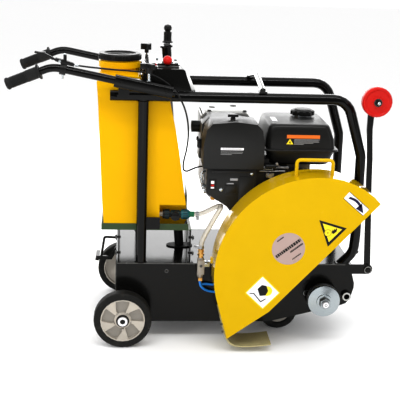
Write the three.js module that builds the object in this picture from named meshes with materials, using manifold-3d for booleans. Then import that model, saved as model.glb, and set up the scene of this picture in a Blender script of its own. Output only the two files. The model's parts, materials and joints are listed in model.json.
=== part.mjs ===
// Walk-behind concrete saw: petrol floor saw with a raised yellow blade guard and a water tank.
// Millimetres, +X to the machine's front, +Y to its left, +Z up. The model is drawn with the rear axle over
// X = 0 and the ground at Z = 0, and the finished group is moved so that its box stands on the origin.
import * as THREE from 'three';
import { mergeVertices } from 'three/addons/utils/BufferGeometryUtils.js';
import Module from 'manifold-3d';

const wasm = await Module();
wasm.setup();

// ---------------------------------------------------------------- driving dimensions
const GAP = 0.3; // clearance between touching pieces
const EPS = 1; // how far cutters run past the face they cut

const REAR_WHEEL = { r: 90, width: 42, face: 258, rim: 69 };
const FRONT_WHEEL = { r: 62.5, width: 37, face: 107, x: 510, bore: 8 };
const HALF = 177; // half the chassis width
const SHEET = 5; // side plate and deck thickness
const DECK = 252; // top of the deck
const BELLY = 56; // lower edge of the side plates
const REAR = -24; // chassis rear end
const FRONT = 728; // chassis front end
const AXLE_R = 10;

const TUBE = 16; // radius of the frame tubes
const RAIL = { y: 161, z: 779, rear: -45 };
const POST_X = 55;
const UPRIGHT_X = 735;

const SHAFT = { x: 633.5, z: 147, r: 15, thread: 11, flange: 51 };
const GUARD = { r: 310, x: 585, z: 257, outer: -296, back: -188, sheet: 4, band: 3 };
const GUARD_PIVOT = { x: 485, z: 147, r: 9 };
const SWING = { x: 310, z: 100, pin: 10, tube: 15, half: 60 };
const LUG = { x: 779, z: 236, r: 16 };
const GUIDE = { x: 757.5, z: 781 }; // guide wheel of the sight pointer

const HANDLE = { y: 205, r: 12, sleeve: 36, bore: 28 };
const SLEEVE_REAR = [-31, 830];
const SLEEVE_FRONT = [139.5, 798];
const HANDLE_BEND = [-213, 866.4];
const GRIP_END = [-346, 812];

const SCREW_TOP = [129, 881]; // depth screw axis at the crank hub
const SCREW_DECK = [184, DECK]; // depth screw axis at the deck
const SCREW_R = 9;

const TANK = { half: 140, wall: 4, neckX: -18, neckR: 60, ringR: 65.5, neckTop: 870, shoulder: 832 };
const TRAY = { z: 350, half: 142, sheet: 3, lip: 371 };
const PANEL = { half: 162, top: 861, sheet: 3, foot: RAIL.z + TUBE + GAP };

const CRANK = { x: 485, z: 394 }; // engine crankshaft axis
const PULLEY = { from: 130, to: 166, engine: 60, blade: 55 };
const BELT = 5; // belt thickness over the pulleys
const VALVE = { y: -120, z: 397 };
const TAP = { x: 241, y: -196, z: 250 };

// ---------------------------------------------------------------- materials
const paint = (color, roughness, metalness) => new THREE.MeshStandardMaterial({ color, roughness, metalness });
const M = {
  black: () => paint(0x171715, 0.28, 0.3),
  yellow: () => paint(0xe2b40f, 0.3, 0.1),
  tank: () => paint(0xf2b90a, 0.5, 0),
  tray: () => paint(0x33442a, 0.4, 0.2),
  zinc: () => paint(0xc9d2d6, 0.3, 0.9),
  steel: () => paint(0x8d9093, 0.35, 0.9),
  cast: () => paint(0xb9b0a4, 0.5, 0.8),
  rubber: () => paint(0x1b1b1a, 0.85, 0),
  plastic: () => paint(0x1d1d1b, 0.4, 0),
  red: () => paint(0xd9201a, 0.35, 0),
  blue: () => paint(0x1e78d2, 0.3, 0),
  clear: () => paint(0xe1d7cd, 0.25, 0),
  brass: () => paint(0xb98a45, 0.35, 0.9),
  teal: () => paint(0x1e646e, 0.4, 0),
  flap: () => paint(0x82794f, 0.8, 0),
  silver: () => paint(0xd9d9d4, 0.35, 0.7),
};

// ---------------------------------------------------------------- geometry helpers
const root = new THREE.Group();

function add(name, geometry, material) {
  const mesh = new THREE.Mesh(geometry, material());
  mesh.name = name;
  root.add(mesh);
  return mesh;
}

// A closed geometry as a manifold solid.
function solid(geometry) {
  const bare = geometry.index ? geometry.toNonIndexed() : geometry.clone();
  bare.deleteAttribute('normal');
  bare.deleteAttribute('uv');
  const welded = mergeVertices(bare, 1e-3);
  const mesh = new wasm.Mesh({
    numProp: 3,
    vertProperties: new Float32Array(welded.attributes.position.array),
    triVerts: new Uint32Array(welded.index.array),
  });
  return new wasm.Manifold(mesh);
}

function geometryOf(manifold) {
  const mesh = manifold.getMesh();
  const geometry = new THREE.BufferGeometry();
  geometry.setAttribute('position', new THREE.BufferAttribute(new Float32Array(mesh.vertProperties), 3));
  geometry.setIndex(new THREE.BufferAttribute(new Uint32Array(mesh.triVerts), 1));
  return geometry;
}

const join = (...parts) => geometryOf(parts.map(solid).reduce((a, b) => a.add(b)));
const cut = (body, ...tools) => geometryOf(tools.map(solid).reduce((a, b) => a.subtract(b), solid(body)));

function box(x0, x1, y0, y1, z0, z1) {
  const geometry = new THREE.BoxGeometry(x1 - x0, y1 - y0, z1 - z0);
  return geometry.translate((x0 + x1) / 2, (y0 + y1) / 2, (z0 + z1) / 2);
}

// Cylinders along Y, X and Z.
function cylY(r, y0, y1, x, z, sides = 24, r1 = r) {
  return new THREE.CylinderGeometry(r1, r, y1 - y0, sides).translate(x, (y0 + y1) / 2, z);
}

function cylZ(r, z0, z1, x, y, sides = 24, r1 = r) {
  return new THREE.CylinderGeometry(r1, r, z1 - z0, sides).rotateX(Math.PI / 2).translate(x, y, (z0 + z1) / 2);
}

function cylX(r, x0, x1, y, z, sides = 20, r1 = r) {
  return new THREE.CylinderGeometry(r1, r, x1 - x0, sides).rotateZ(-Math.PI / 2).translate((x0 + x1) / 2, y, z);
}

// A prism whose outline lies in the XZ plane, from y0 to y1.
function prismY(shape, y0, y1, curveSegments = 12) {
  const options = { depth: y1 - y0, bevelEnabled: false, curveSegments };
  return new THREE.ExtrudeGeometry(shape, options).rotateX(Math.PI / 2).translate(0, y1, 0);
}

const outline = (points) => new THREE.Shape(points.map(([a, b]) => new THREE.Vector2(a, b)));

// A solid of revolution whose profile is [radius, height] along +Y, placed at a point and turned to a direction.
function latheAlong(profile, origin, direction, segments = 24) {
  const points = profile.map(([r, h]) => new THREE.Vector2(r, h));
  const turn = new THREE.Quaternion().setFromUnitVectors(
    new THREE.Vector3(0, 1, 0),
    new THREE.Vector3(...direction).normalize(),
  );
  return new THREE.LatheGeometry(points, segments).applyQuaternion(turn).translate(...origin);
}

// A path through a list of points, stepped exactly at them, so straight runs cost one step.
class Steps extends THREE.Curve {
  constructor(points) {
    super();
    this.points = points;
  }

  getPoint(t, target = new THREE.Vector3()) {
    const last = this.points.length - 1;
    const i = Math.min(Math.floor(t * last + 1e-6), last - 1);
    return target.lerpVectors(this.points[i], this.points[i + 1], t * last - i);
  }

  getPointAt(u, target) {
    return this.getPoint(u, target);
  }

  getTangentAt(u, target = new THREE.Vector3()) {
    const last = this.points.length - 1;
    const i = Math.round(u * last);
    const before = this.points[Math.max(i - 1, 0)];
    const after = this.points[Math.min(i + 1, last)];
    return target.subVectors(after, before).normalize();
  }
}

// Corner points joined by straight runs, each inner corner rounded to the bend radius.
function bentPoints(corners, radius, arcSteps = 6) {
  const p = corners.map((c) => new THREE.Vector3(...c));
  const points = [p[0]];
  for (let i = 1; i < p.length - 1; i++) {
    const to = p[i - 1].clone().sub(p[i]).normalize();
    const from = p[i + 1].clone().sub(p[i]).normalize();
    const half = to.angleTo(from) / 2;
    const reach = radius / Math.tan(half);
    const middle = to.clone().add(from).normalize();
    const centre = p[i].clone().addScaledVector(middle, radius / Math.sin(half));
    const start = p[i].clone().addScaledVector(to, reach).sub(centre);
    const axis = start.clone().cross(middle.clone().negate()).normalize();
    for (let k = 0; k <= arcSteps; k++) {
      const turn = ((Math.PI - 2 * half) * k) / arcSteps;
      points.push(start.clone().applyAxisAngle(axis, turn).add(centre));
    }
  }
  points.push(p[p.length - 1]);
  return points;
}

function sweep(points, radius, sides) {
  const ring = new THREE.Shape();
  for (let i = 0; i < sides; i++) {
    const a = (2 * Math.PI * (i + 0.5)) / sides;
    ring[i ? 'lineTo' : 'moveTo'](radius * Math.cos(a), radius * Math.sin(a));
  }
  ring.closePath();
  return new THREE.ExtrudeGeometry(ring, { steps: points.length - 1, extrudePath: new Steps(points) });
}

const tube = (corners, bend, radius, sides = 12, arcSteps = 6) => sweep(bentPoints(corners, bend, arcSteps), radius, sides);

// A hose through chosen points on one smooth curve.
function hose(points, radius, sides, steps) {
  const curve = new THREE.CatmullRomCurve3(points.map((p) => new THREE.Vector3(...p)), false, 'centripetal');
  return sweep(curve.getSpacedPoints(steps), radius, sides);
}

// ---------------------------------------------------------------- chassis
function sidePlate(withLug) {
  const shape = new THREE.Shape();
  shape.moveTo(REAR, BELLY);
  shape.lineTo(470, BELLY);
  shape.lineTo(700, 113);
  shape.lineTo(716, 119);
  shape.lineTo(730, 137);
  shape.lineTo(739, 173);
  shape.lineTo(739, 189);
  shape.lineTo(730, LUG.z - LUG.r);
  if (withLug) {
    shape.lineTo(LUG.x, LUG.z - LUG.r);
    shape.absarc(LUG.x, LUG.z, LUG.r, -Math.PI / 2, Math.PI / 2, false);
  } else {
    shape.lineTo(730, DECK);
  }
  shape.lineTo(REAR, DECK);
  shape.closePath();
  return shape;
}

function depthColumn() {
  const lean = [SCREW_TOP[0] - SCREW_DECK[0], 0, SCREW_TOP[1] - SCREW_DECK[1]];
  const column = latheAlong([[0, -6], [15, -6], [15, 110], [0, 110]], [SCREW_DECK[0], 0, DECK], lean, 20);
  const levelled = cut(column, box(100, 260, -40, 40, TRAY.z - GAP, TRAY.z + 80), box(100, 260, -40, 40, 200, DECK - 4));
  const foot = cylZ(43, DECK - SHEET, DECK + 4, 0, 0, 32).scale(1, 0.6, 1).translate(SCREW_DECK[0], 0, 0);
  return join(levelled, foot);
}

function chassis() {
  const inner = HALF - SHEET;
  const parts = [
    prismY(sidePlate(true), -HALF, -inner),
    prismY(sidePlate(false), inner, HALF),
    box(REAR, FRONT, -inner - 2, inner + 2, DECK - SHEET, DECK),
    box(REAR, REAR + SHEET, -inner - 2, inner + 2, 125, DECK - 1),
    box(FRONT - 30, FRONT - 25, -inner - 2, inner + 2, 165, DECK - 1),
    cylY(14.5, -HALF - 14, HALF + 14, 715, 147, 20),
    cylY(SWING.pin, -inner - 2, inner + 2, SWING.x, SWING.z, 20),
    cylY(GUARD_PIVOT.r, -inner - 21.5, -inner - 1, GUARD_PIVOT.x, GUARD_PIVOT.z, 20),
    cylY(8, -HALF - 5, -inner - 1, 587, 154, 16),
    box(340, 640, -100, -62, DECK - 1, DECK + 10),
    box(340, 640, 62, 100, DECK - 1, DECK + 10),
    box(556, 592, -HALF - 9, -inner - 1, 204, 238),
    depthColumn(),
  ];
  const screwWay = latheAlong([[0, -60], [11, -60], [11, 160], [0, 160]], [SCREW_DECK[0], 0, DECK],
    [SCREW_TOP[0] - SCREW_DECK[0], 0, SCREW_TOP[1] - SCREW_DECK[1]], 20);
  const tools = [
    screwWay,
    box(488, 655, 126, 168, DECK - SHEET - EPS, DECK + EPS),
    cylY(AXLE_R + GAP, -HALF - EPS, HALF + EPS, 0, REAR_WHEEL.r, 20),
    cylY(SHAFT.r + 6, -HALF - EPS, -inner + EPS, SHAFT.x, SHAFT.z, 24),
    cylY(9, -HALF - 20, HALF + 20, 715, 147, 20),
    cylY(6 + GAP, -HALF - EPS, -inner + EPS, LUG.x, LUG.z, 16),
  ];
  return cut(join(...parts), ...tools);
}

// ---------------------------------------------------------------- upper frame
function sideFrame(side) {
  const y = side * RAIL.y;
  const rail = tube([
    [RAIL.rear, y, RAIL.z],
    [677, y, RAIL.z],
    [731, y, 605],
    [UPRIGHT_X, y, 345],
    [732, y, 288],
    [684, y, DECK - 14],
  ], 60, TUBE, 12, 5);
  const trimmed = cut(rail, box(640, 760, y - 40, y + 40, DECK - 60, DECK + GAP));
  const post = cylZ(TUBE, DECK + GAP, RAIL.z, POST_X, y, 12);
  const foot = box(676, 716, y - 15.5, y + 15.5, DECK + GAP, DECK + 4);
  const gusset = box(POST_X, 112, y - 3, y + 3, 360, 398);
  return join(trimmed, post, foot, gusset, clampSleeve(side));
}

// Square sleeve that holds the telescopic handlebar, on two distance pieces at the outer side of the rail.
function clampSleeve(side) {
  const [x0, z0] = SLEEVE_REAR;
  const [x1, z1] = SLEEVE_FRONT;
  const length = Math.hypot(x1 - x0, z1 - z0);
  const half = HANDLE.sleeve / 2;
  const bore = HANDLE.bore / 2;
  const place = (g) => g.rotateY(Math.atan2(z0 - z1, x1 - x0)).translate(x0, side * HANDLE.y, z0);
  const sleeve = cut(
    box(0, length, -half, half, -half, half),
    box(-EPS, length + EPS, -bore, bore, -bore, bore),
  );
  const y0 = side > 0 ? RAIL.y + TUBE - 5 : -HANDLE.y + half - 1;
  const y1 = side > 0 ? HANDLE.y - half + 1 : -RAIL.y - TUBE + 5;
  const blocks = [[-20, 12], [88, 120]].map(([a, b]) => box(a, b, y0, y1, RAIL.z - 4, RAIL.z + 30));
  const saddle = box(-24, 124, y0, y1, RAIL.z - 4, RAIL.z + 6);
  return join(place(sleeve), ...blocks, saddle);
}

function liftingBar() {
  const foot = RAIL.z + TUBE + GAP;
  const arch = tube([[415, -158, foot + 6], [415, 0, 828], [415, 158, foot + 6]], 45, 9, 12, 5);
  const feet = [-1, 1].map((s) => box(403, 427, s * RAIL.y - 12, s * RAIL.y + 12, foot, foot + 5));
  return cut(join(arch, ...feet), box(380, 450, -200, 200, 780, foot));
}

function panelOutline(inset, drop) {
  const t = inset;
  return outline([
    [52 + t, PANEL.foot - drop],
    [52 + t, 855 - t],
    [58 + t, PANEL.top - t],
    [172 - t, PANEL.top - t],
    [178 - t, 857 - t],
    [198 - t, 801 - (drop ? 30 : 0)],
    [198 - t, PANEL.foot - drop],
  ]);
}

function controlPanel() {
  const shell = cut(
    prismY(panelOutline(0, 0), -PANEL.half, PANEL.half),
    prismY(outline([
      [55, PANEL.foot - EPS], [55, 854], [59.5, PANEL.top - PANEL.sheet], [171, PANEL.top - PANEL.sheet],
      [175.5, 855.5], [195, 800.5], [195, PANEL.foot - EPS],
    ]), -PANEL.half + PANEL.sheet, PANEL.half - PANEL.sheet),
  );
  const quadrant = box(98, 160, -146, -98, PANEL.top - 1, PANEL.top + 4);
  const switchBase = cylZ(14, PANEL.top - 1, PANEL.top + 4, 82, -146, 24);
  const hole = cylZ(13, PANEL.top - 20, PANEL.top + EPS, 131, 0, 20);
  const slot = box(112, 140, -125, -119, PANEL.top + 0.5, PANEL.top + 6);
  const well = cylZ(10.5, PANEL.top - 1.5, PANEL.top + 12, 82, -146, 24);
  const flange = box(192, 210, -PANEL.half, PANEL.half, PANEL.foot, PANEL.foot + PANEL.sheet);
  return cut(join(shell, quadrant, switchBase, flange), hole, slot, well);
}

// ---------------------------------------------------------------- handlebars
const handleAxis = new THREE.Vector3(
  HANDLE_BEND[0] - SLEEVE_FRONT[0], 0, HANDLE_BEND[1] - SLEEVE_FRONT[1],
).normalize();
const gripAxis = new THREE.Vector3(GRIP_END[0] - HANDLE_BEND[0], 0, GRIP_END[1] - HANDLE_BEND[1]).normalize();

function handlebar(side) {
  const y = side * HANDLE.y;
  const front = [SLEEVE_FRONT[0] + 8, y, SLEEVE_FRONT[1] - 1.5];
  const end = [GRIP_END[0] - 6 * gripAxis.x, y, GRIP_END[1] - 6 * gripAxis.z];
  return tube([front, [HANDLE_BEND[0], y, HANDLE_BEND[1]], end], 80, HANDLE.r, 14, 6);
}

// Rubber grip: closed at its outer end, bored for the tube, with a hand stop at its inner end.
function grip(side) {
  const bore = HANDLE.r + GAP;
  const profile = [[0, 0], [15, 0], [18, 3], [18, 8], [16, 12], [16, 62], [17.5, 66], [17.5, 98], [23, 101], [23, 106],
    [bore, 106], [bore, 5], [0, 5]];
  const back = [-gripAxis.x, 0, -gripAxis.z];
  return latheAlong(profile, [GRIP_END[0], side * HANDLE.y, GRIP_END[1]], back, 14);
}

// Clamp knobs of the two handlebars; the far one stands higher and has shorter wings.
const KNOBS = {
  right: { reach: 26, hub: 11, foot: 853, wing: 866, top: 882 },
  left: { reach: 20, hub: 7, foot: 862, wing: 873, top: 892 },
};

function wingKnob(side) {
  const y = side * HANDLE.y;
  const x = 69;
  const seat = 830.9;
  const { reach, hub, foot, wing, top } = side > 0 ? KNOBS.left : KNOBS.right;
  const stem = cylZ(3.5, seat, foot + 4, x, y, 12);
  const boss = cylZ(hub, foot, wing + 5, x, y, 16);
  const wings = [0, 1, 2].map((k) => box(0, reach, -6, 6, wing, top)
    .rotateZ(Math.PI + (2 * Math.PI * k) / 3).translate(x, y, 0));
  return join(stem, boss, ...wings);
}

function leverBracket() {
  const clamp = latheAlong([[HANDLE.r + GAP, -9], [17, -9], [17, 9], [HANDLE.r + GAP, 9], [HANDLE.r + GAP, -9]],
    [-181, -HANDLE.y, 860.2], handleAxis.toArray(), 20);
  const body = prismY(outline([[-203, 893], [-203, 884], [-172, 873.5], [-150, 869], [-147, 876], [-152, 880], [-172, 886]]),
    -HANDLE.y - 9, -HANDLE.y + 9);
  const neck = cylZ(7, 874, 882, -181, -HANDLE.y, 12);
  const screw = cylZ(5, 880, 902, -175, -HANDLE.y, 10);
  const slot = box(-210, -170, -HANDLE.y - 4, -HANDLE.y + 4, 877.5, 900);
  return join(cut(join(clamp, body, neck), slot), cylY(3, -HANDLE.y - 12, -HANDLE.y + 12, -190, 884, 10), screw);
}

function handLever() {
  const blade = prismY(outline([
    [-196, 889], [-204, 891.5], [-222, 901], [-238, 908.5], [-262, 911], [-262, 906], [-238, 903], [-222, 894],
    [-204, 884.5], [-190, 880.2], [-184, 880.2], [-184, 889],
  ]), -HANDLE.y - 3.4, -HANDLE.y + 3.4);
  const paddle = box(-262, -232, -HANDLE.y - 9, -HANDLE.y + 9, 905.8, 909);
  return cut(join(blade, paddle), cylY(3 + GAP, -HANDLE.y - 8, -HANDLE.y + 8, -190, 884, 10));
}

const CABLE_ROUTE = [
  [-146.5, -205, 872.5], [-132, -204.5, 870.5], [-112, -203, 868], [-75, -198, 864], [-30, -191, 859.5],
  [20, -186, 856], [60, -184, 851.5], [95, -183.5, 839], [125, -183.5, 821], [148, -183.5, 800], [165, -184, 775],
  [180, -182, 742], [190, -174, 700], [193, -158, 655], [190, -140, 610], [184, -124, 572], [183, -112, 549],
  [187, -101, 535], [196, -96, 531], [210, -96, 537], [228, -98, 545], [248, -99, 549], [271.4, -99, 549],
];

// ---------------------------------------------------------------- water system
function tankOutline(inset) {
  const t = inset;
  return outline([
    [-47 + t, 353.6 + t], [-63 + t, 372 + t], [-68 + t, 440], [-75 + t, 605], [-82 + t, 760], [-86 + t, 815 - t],
    [-79 + t, 832 - t], [40 - t, 832 - t], [48 - t, 825 - t], [48 - t, 790 - t], [116, 790 - t], [127 - t, 783],
    [136 - t, 761], [156 - t, 671], [167 - t, 609], [186 - t, 481], [196 - t, 416], [198 - t, 372 + t],
    [190 - t, 353.6 + t],
  ]);
}

function screwChannel(extra) {
  const lean = Math.atan2(SCREW_TOP[0] - SCREW_DECK[0], SCREW_TOP[1] - SCREW_DECK[1]);
  return box(-20 - extra, 120, -22 - extra, 22 + extra, 0, 700).rotateY(lean).translate(SCREW_DECK[0], 0, DECK);
}

function waterTank() {
  const { half, wall, neckX, neckR, ringR, neckTop, shoulder } = TANK;
  const notch = (e) => box(111 - e, 230, -half - 10, -98 + e, 340, 432 + e);
  const outside = join(
    prismY(tankOutline(0), -half, half),
    cylZ(neckR, shoulder - 2, neckTop, neckX, 0, 36),
    cylZ(ringR, shoulder + 12, shoulder + 31, neckX, 0, 36),
  );
  const body = cut(outside, screwChannel(0), notch(0));
  const hollow = cut(prismY(tankOutline(wall), -half + wall, half - wall), screwChannel(wall), notch(wall));
  return cut(body, join(hollow, cylZ(neckR - wall, shoulder - wall - 2, neckTop + EPS, neckX, 0, 36)));
}

function tankLid() {
  const r = TANK.neckR;
  const profile = [[r + GAP, 0], [r + 7, 0], [r + 7, 14], [r + 4, 19], [50, 19], [48, 11], [0, 11],
    [0, 3], [r + GAP, 3], [r + GAP, 0]];
  const cup = latheAlong(profile, [TANK.neckX, 0, TANK.neckTop - 3 + GAP], [0, 0, 1], 36);
  return join(cup, box(TANK.neckX - 49, TANK.neckX + 49, -5, 5, 876, 884));
}

function tankTray() {
  const { z, half, sheet, lip } = TRAY;
  const rear = -70;
  const front = 203;
  const plate = box(rear, 213, -half, half, z, z + sheet);
  const lips = [
    box(rear, front, -half, -half + 1.6, z, lip),
    box(rear, front, half - 1.6, half, z, lip),
    box(rear, rear + sheet, -half, half, z, lip),
    box(front - sheet, front, -half, half, z, lip),
    prismY(outline([[front - sheet, lip - 1], [front, lip - 1], [front, 425], [front - 1, 462], [front - sheet, 425]]),
      -40, 40),
  ];
  const legs = [rear + 53, 209].map((x) => box(x, x + 4, -135, 135, DECK + GAP, z + 1));
  const way = screwChannel(0).clone();
  const bolts = [270, 322].flatMap((h) => [-17, 209].map((x) => cylX(4, x - 4, x + 8, -128, h, 8)));
  return cut(join(plate, ...lips, ...legs, ...bolts), way, box(200, 225, -38, 38, DECK - EPS, DECK + 12));
}

function tankValve() {
  const profile = [[0, 0], [8, 0], [8, 10], [15, 10], [15, 32], [11, 32], [11, 36], [14, 38], [14, 62], [11, 64],
    [11, 68], [16, 69], [16, 88], [13, 94], [9, 98], [9, 110], [0, 110]];
  const body = latheAlong(profile, [111 + GAP, VALVE.y, VALVE.z], [1, 0, 0], 12);
  return join(body, cylY(8, VALVE.y - 20, VALVE.y, 161, VALVE.z, 12));
}

function tankValveKnob() {
  const y1 = VALVE.y - 20 - GAP;
  return join(cylY(15, y1 - 9, y1, 161, VALVE.z, 8), box(146, 176, y1 - 13, y1 - 8, VALVE.z - 4, VALVE.z + 4));
}

const CLEAR_HOSE_ROUTE = [
  [221.8, VALVE.y, VALVE.z], [231, VALVE.y, VALVE.z], [250, -121, 402], [272, -127, 415], [290, -138, 428],
  [301, -153, 435], [301, -168, 434.5], [293, -181, 425], [280, -190, 406], [267, -195, 383], [253, -196, 356],
  [243, -196, 330], [TAP.x, TAP.y, 316], [TAP.x, TAP.y, 308.6],
];

function tapBody() {
  const { x, y, z } = TAP;
  const profile = [[0, -46], [5, -46], [6, -40], [8, -36], [11, -30], [11, 26], [8, 30], [8, 58], [0, 58]];
  const stem = latheAlong(profile, [x, y, z], [0, 0, 1], 16);
  const tee = box(x - 6, x + 6, y - 10, y + 10, z - 46, z - 36);
  return join(stem, tee, cylY(7, y, -HALF - GAP, x, z, 12), cylX(9, x, x + 28, y, z + 5, 6));
}

function tapLever() {
  const { x, y, z } = TAP;
  const face = y - 11 - GAP;
  const hub = cylY(8, face - 6, face, x, z + 8, 12);
  return join(hub, box(x - 11, x + 11, face - 9, face - 4, z - 22, z + 26));
}

const BLUE_END_X = 555.6;
const BLUE_HOSES = {
  blue_hose_upper: [
    [241, -191, 203.3], [241, -191, 194], [246, -190, 188.5], [262, -186, 187], [290, -182.6, 183],
    [340, -182.6, 182], [400, -182.6, 188], [460, -182.6, 203], [510, -182.6, 220], [540, -182.6, 228.5],
    [BLUE_END_X, -182.6, 229],
  ],
  blue_hose_lower: [
    [241, -200.5, 203.5], [241, -200.5, 194], [246, -198, 182], [257, -193, 171], [273, -187, 163], [296, -183, 159],
    [340, -182.6, 160], [400, -182.6, 168], [440, -182.6, 180], [490, -182.6, 197], [540, -182.6, 212.5],
    [BLUE_END_X, -182.6, 213],
  ],
};

// ---------------------------------------------------------------- running gear
function rearRim(side) {
  const { face, width, rim } = REAR_WHEEL;
  const at = (h) => side * (face - h);
  const ring = (pairs) => new THREE.LatheGeometry(pairs.map(([r, h]) => new THREE.Vector2(r, at(h))), 24);
  const profile = [[AXLE_R + GAP, 2], [20, 2], [20, 5], [26, 7], [26, 12], [64, 12], [66, 2], [rim, 2],
    [rim, width - 2], [66, width - 2], [64, width - 12], [26, width - 12], [22, width - 3], [AXLE_R + GAP, width - 3],
    [AXLE_R + GAP, 2]];
  const ordered = side > 0 ? profile.slice().reverse() : profile;
  let body = solid(ring(ordered));
  const pad = new THREE.Shape();
  const a = Math.PI / 5.6;
  pad.moveTo(24 * Math.cos(-a / 2), 24 * Math.sin(-a / 2));
  pad.absarc(0, 0, 65.5, -a / 2, a / 2, false);
  pad.lineTo(24 * Math.cos(a / 2), 24 * Math.sin(a / 2));
  pad.closePath();
  for (let k = 0; k < 5; k++) {
    const y0 = Math.min(at(4), at(14));
    const spoke = prismY(pad, y0, y0 + 10, 4).rotateY(Math.PI / 2 + (2 * Math.PI * k) / 5);
    body = body.add(solid(spoke));
  }
  return geometryOf(body).translate(0, 0, REAR_WHEEL.r);
}

function rearTyre(side) {
  const { r, face, width, rim } = REAR_WHEEL;
  const at = (h) => side * (face - h);
  const profile = [[rim + GAP, 1], [r - 6, 0], [r - 1, 3], [r, 7], [r, width - 7], [r - 1, width - 3], [r - 6, width],
    [rim + GAP, width - 1], [rim + GAP, 1]];
  const ordered = side > 0 ? profile.slice().reverse() : profile;
  return new THREE.LatheGeometry(ordered.map(([a, h]) => new THREE.Vector2(a, at(h))), 32).translate(0, 0, r);
}

function rearAxle() {
  const { face, width, r } = REAR_WHEEL;
  const collar = face - width - GAP;
  return join(
    cylY(AXLE_R, -face - 3, face + 3, 0, r, 16),
    cylY(17, -collar, -HALF - GAP, 0, r, 16),
    cylY(17, HALF + GAP, collar, 0, r, 16),
    cylY(15, -face - 5, -face - 2 + GAP, 0, r, 16),
    cylY(15, face + 2 - GAP, face + 5, 0, r, 16),
  );
}

function frontWheel(side) {
  const { r, width, face, bore, x } = FRONT_WHEEL;
  const at = (h) => side * (face - h);
  const profile = [[bore + GAP, 2], [18, 2], [20, 6], [42, 6], [45, 1], [r - 4, 0], [r, 5], [r, width - 5],
    [r - 4, width], [45, width - 1], [42, width - 6], [20, width - 6], [18, width - 2], [bore + GAP, width - 2],
    [bore + GAP, 2]];
  const ordered = side > 0 ? profile.slice().reverse() : profile;
  return new THREE.LatheGeometry(ordered.map(([a, h]) => new THREE.Vector2(a, at(h))), 24).translate(x, 0, r);
}

function swingFrame() {
  const { x, z, pin, tube: outer, half } = SWING;
  const ax = FRONT_WHEEL.x;
  const az = FRONT_WHEEL.r;
  const arm = outline([[x, z - 15], [ax - 4, az - 13], [ax + 12, az - 8], [ax + 12, az + 8], [ax - 4, az + 13], [x, z + 15]]);
  const lever = outline([[x, z - 14], [x, z + 14], [186, z + 9], [180, z], [186, z - 9]]);
  const tail = FRONT_WHEEL.face - FRONT_WHEEL.width - GAP;
  const parts = [cylY(outer, -half, half, x, z, 20), cylY(FRONT_WHEEL.bore, -112, 112, ax, az, 16)];
  for (const s of [-1, 1]) {
    parts.push(prismY(arm, s > 0 ? half - 8 : -half, s > 0 ? half : -half + 8));
    parts.push(prismY(lever, s > 0 ? 16 : -22, s > 0 ? 22 : -16));
    parts.push(cylY(14, s > 0 ? half - 1 : -tail, s > 0 ? tail : -half + 1, ax, az, 16));
    parts.push(cylY(12, s > 0 ? FRONT_WHEEL.face + GAP : -112, s > 0 ? 112 : -FRONT_WHEEL.face - GAP, ax, az, 6));
  }
  return cut(join(...parts), cylY(pin + GAP, -half - EPS, half + EPS, x, z, 20));
}

function brakePedal() {
  const y = 192;
  const loop = tube([[-14, y, 178], [-25, y, 214], [-68, y, 216], [-79, y, 140]], 7, 4.5, 8, 3);
  const shoe = prismY(outline([[-84, 147], [-97, 147], [-100, 131], [-88, 129]]), y - 6, 248);
  const hub = cylY(11, HALF + GAP, y + 6, -10, 178, 16);
  const arm = prismY(outline([[-20, 170], [-42, 133], [-94, 132], [-96, 146], [-50, 146], [-24, 186], [-6, 186]]),
    y - 4, y + 4);
  return join(loop, shoe, hub, arm);
}

// ---------------------------------------------------------------- depth control
const screwAxis = new THREE.Vector3(SCREW_TOP[0] - SCREW_DECK[0], 0, SCREW_TOP[1] - SCREW_DECK[1]).normalize();
const alongScrew = (height) => [
  SCREW_DECK[0] + ((height - DECK) * screwAxis.x) / screwAxis.z, 0, height,
];

function depthScrew() {
  const profile = [[0, 0], [SCREW_R, 2], [SCREW_R, 786], [7, 788], [7, 815], [0, 815]];
  return latheAlong(profile, alongScrew(78), screwAxis.toArray(), 12);
}

function crankArm() {
  const base = alongScrew(864);
  const hub = latheAlong([[7 + GAP, 0], [12.5, 0], [15, 8], [15, 41], [20, 42], [20, 48], [0, 48], [0, 32],
    [7 + GAP, 32], [7 + GAP, 0]], base, screwAxis.toArray(), 20);
  const top = 905;
  const arm = box(-10, 10, 0, 86, top, top + 6).rotateZ(-0.068).translate(alongScrew(top)[0], 0, 0);
  const pin = cylZ(5, top + 1, 950, CRANK_GRIP.x, CRANK_GRIP.y, 12);
  return join(hub, arm, pin);
}

const CRANK_GRIP = { x: 133, y: 80, z: 911 + GAP };

function crankGrip() {
  const bore = 5 + GAP;
  const profile = [[bore, 0], [17, 0], [17, 3], [13, 6], [12, 18], [13, 33], [8, 36], [12.5, 42], [13, 48], [10, 55],
    [0, 58], [0, 41], [bore, 41], [bore, 0]];
  return latheAlong(profile, [CRANK_GRIP.x, CRANK_GRIP.y, CRANK_GRIP.z], [0, 0, 1], 14);
}

function throttleLever() {
  const foot = PANEL.top + 3;
  const stem = box(122.5, 129.5, -124, -120, foot, foot + 12);
  return join(stem, new THREE.SphereGeometry(14.5, 16, 10).translate(126, -122, PANEL.top + 20.5));
}

function stopButton() {
  return join(cylZ(8, PANEL.top + 2, PANEL.top + 10, 82, -146, 20),
    cylZ(12.5, PANEL.top + 8, PANEL.top + 14.5, 82, -146, 24, 10.5));
}

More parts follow.
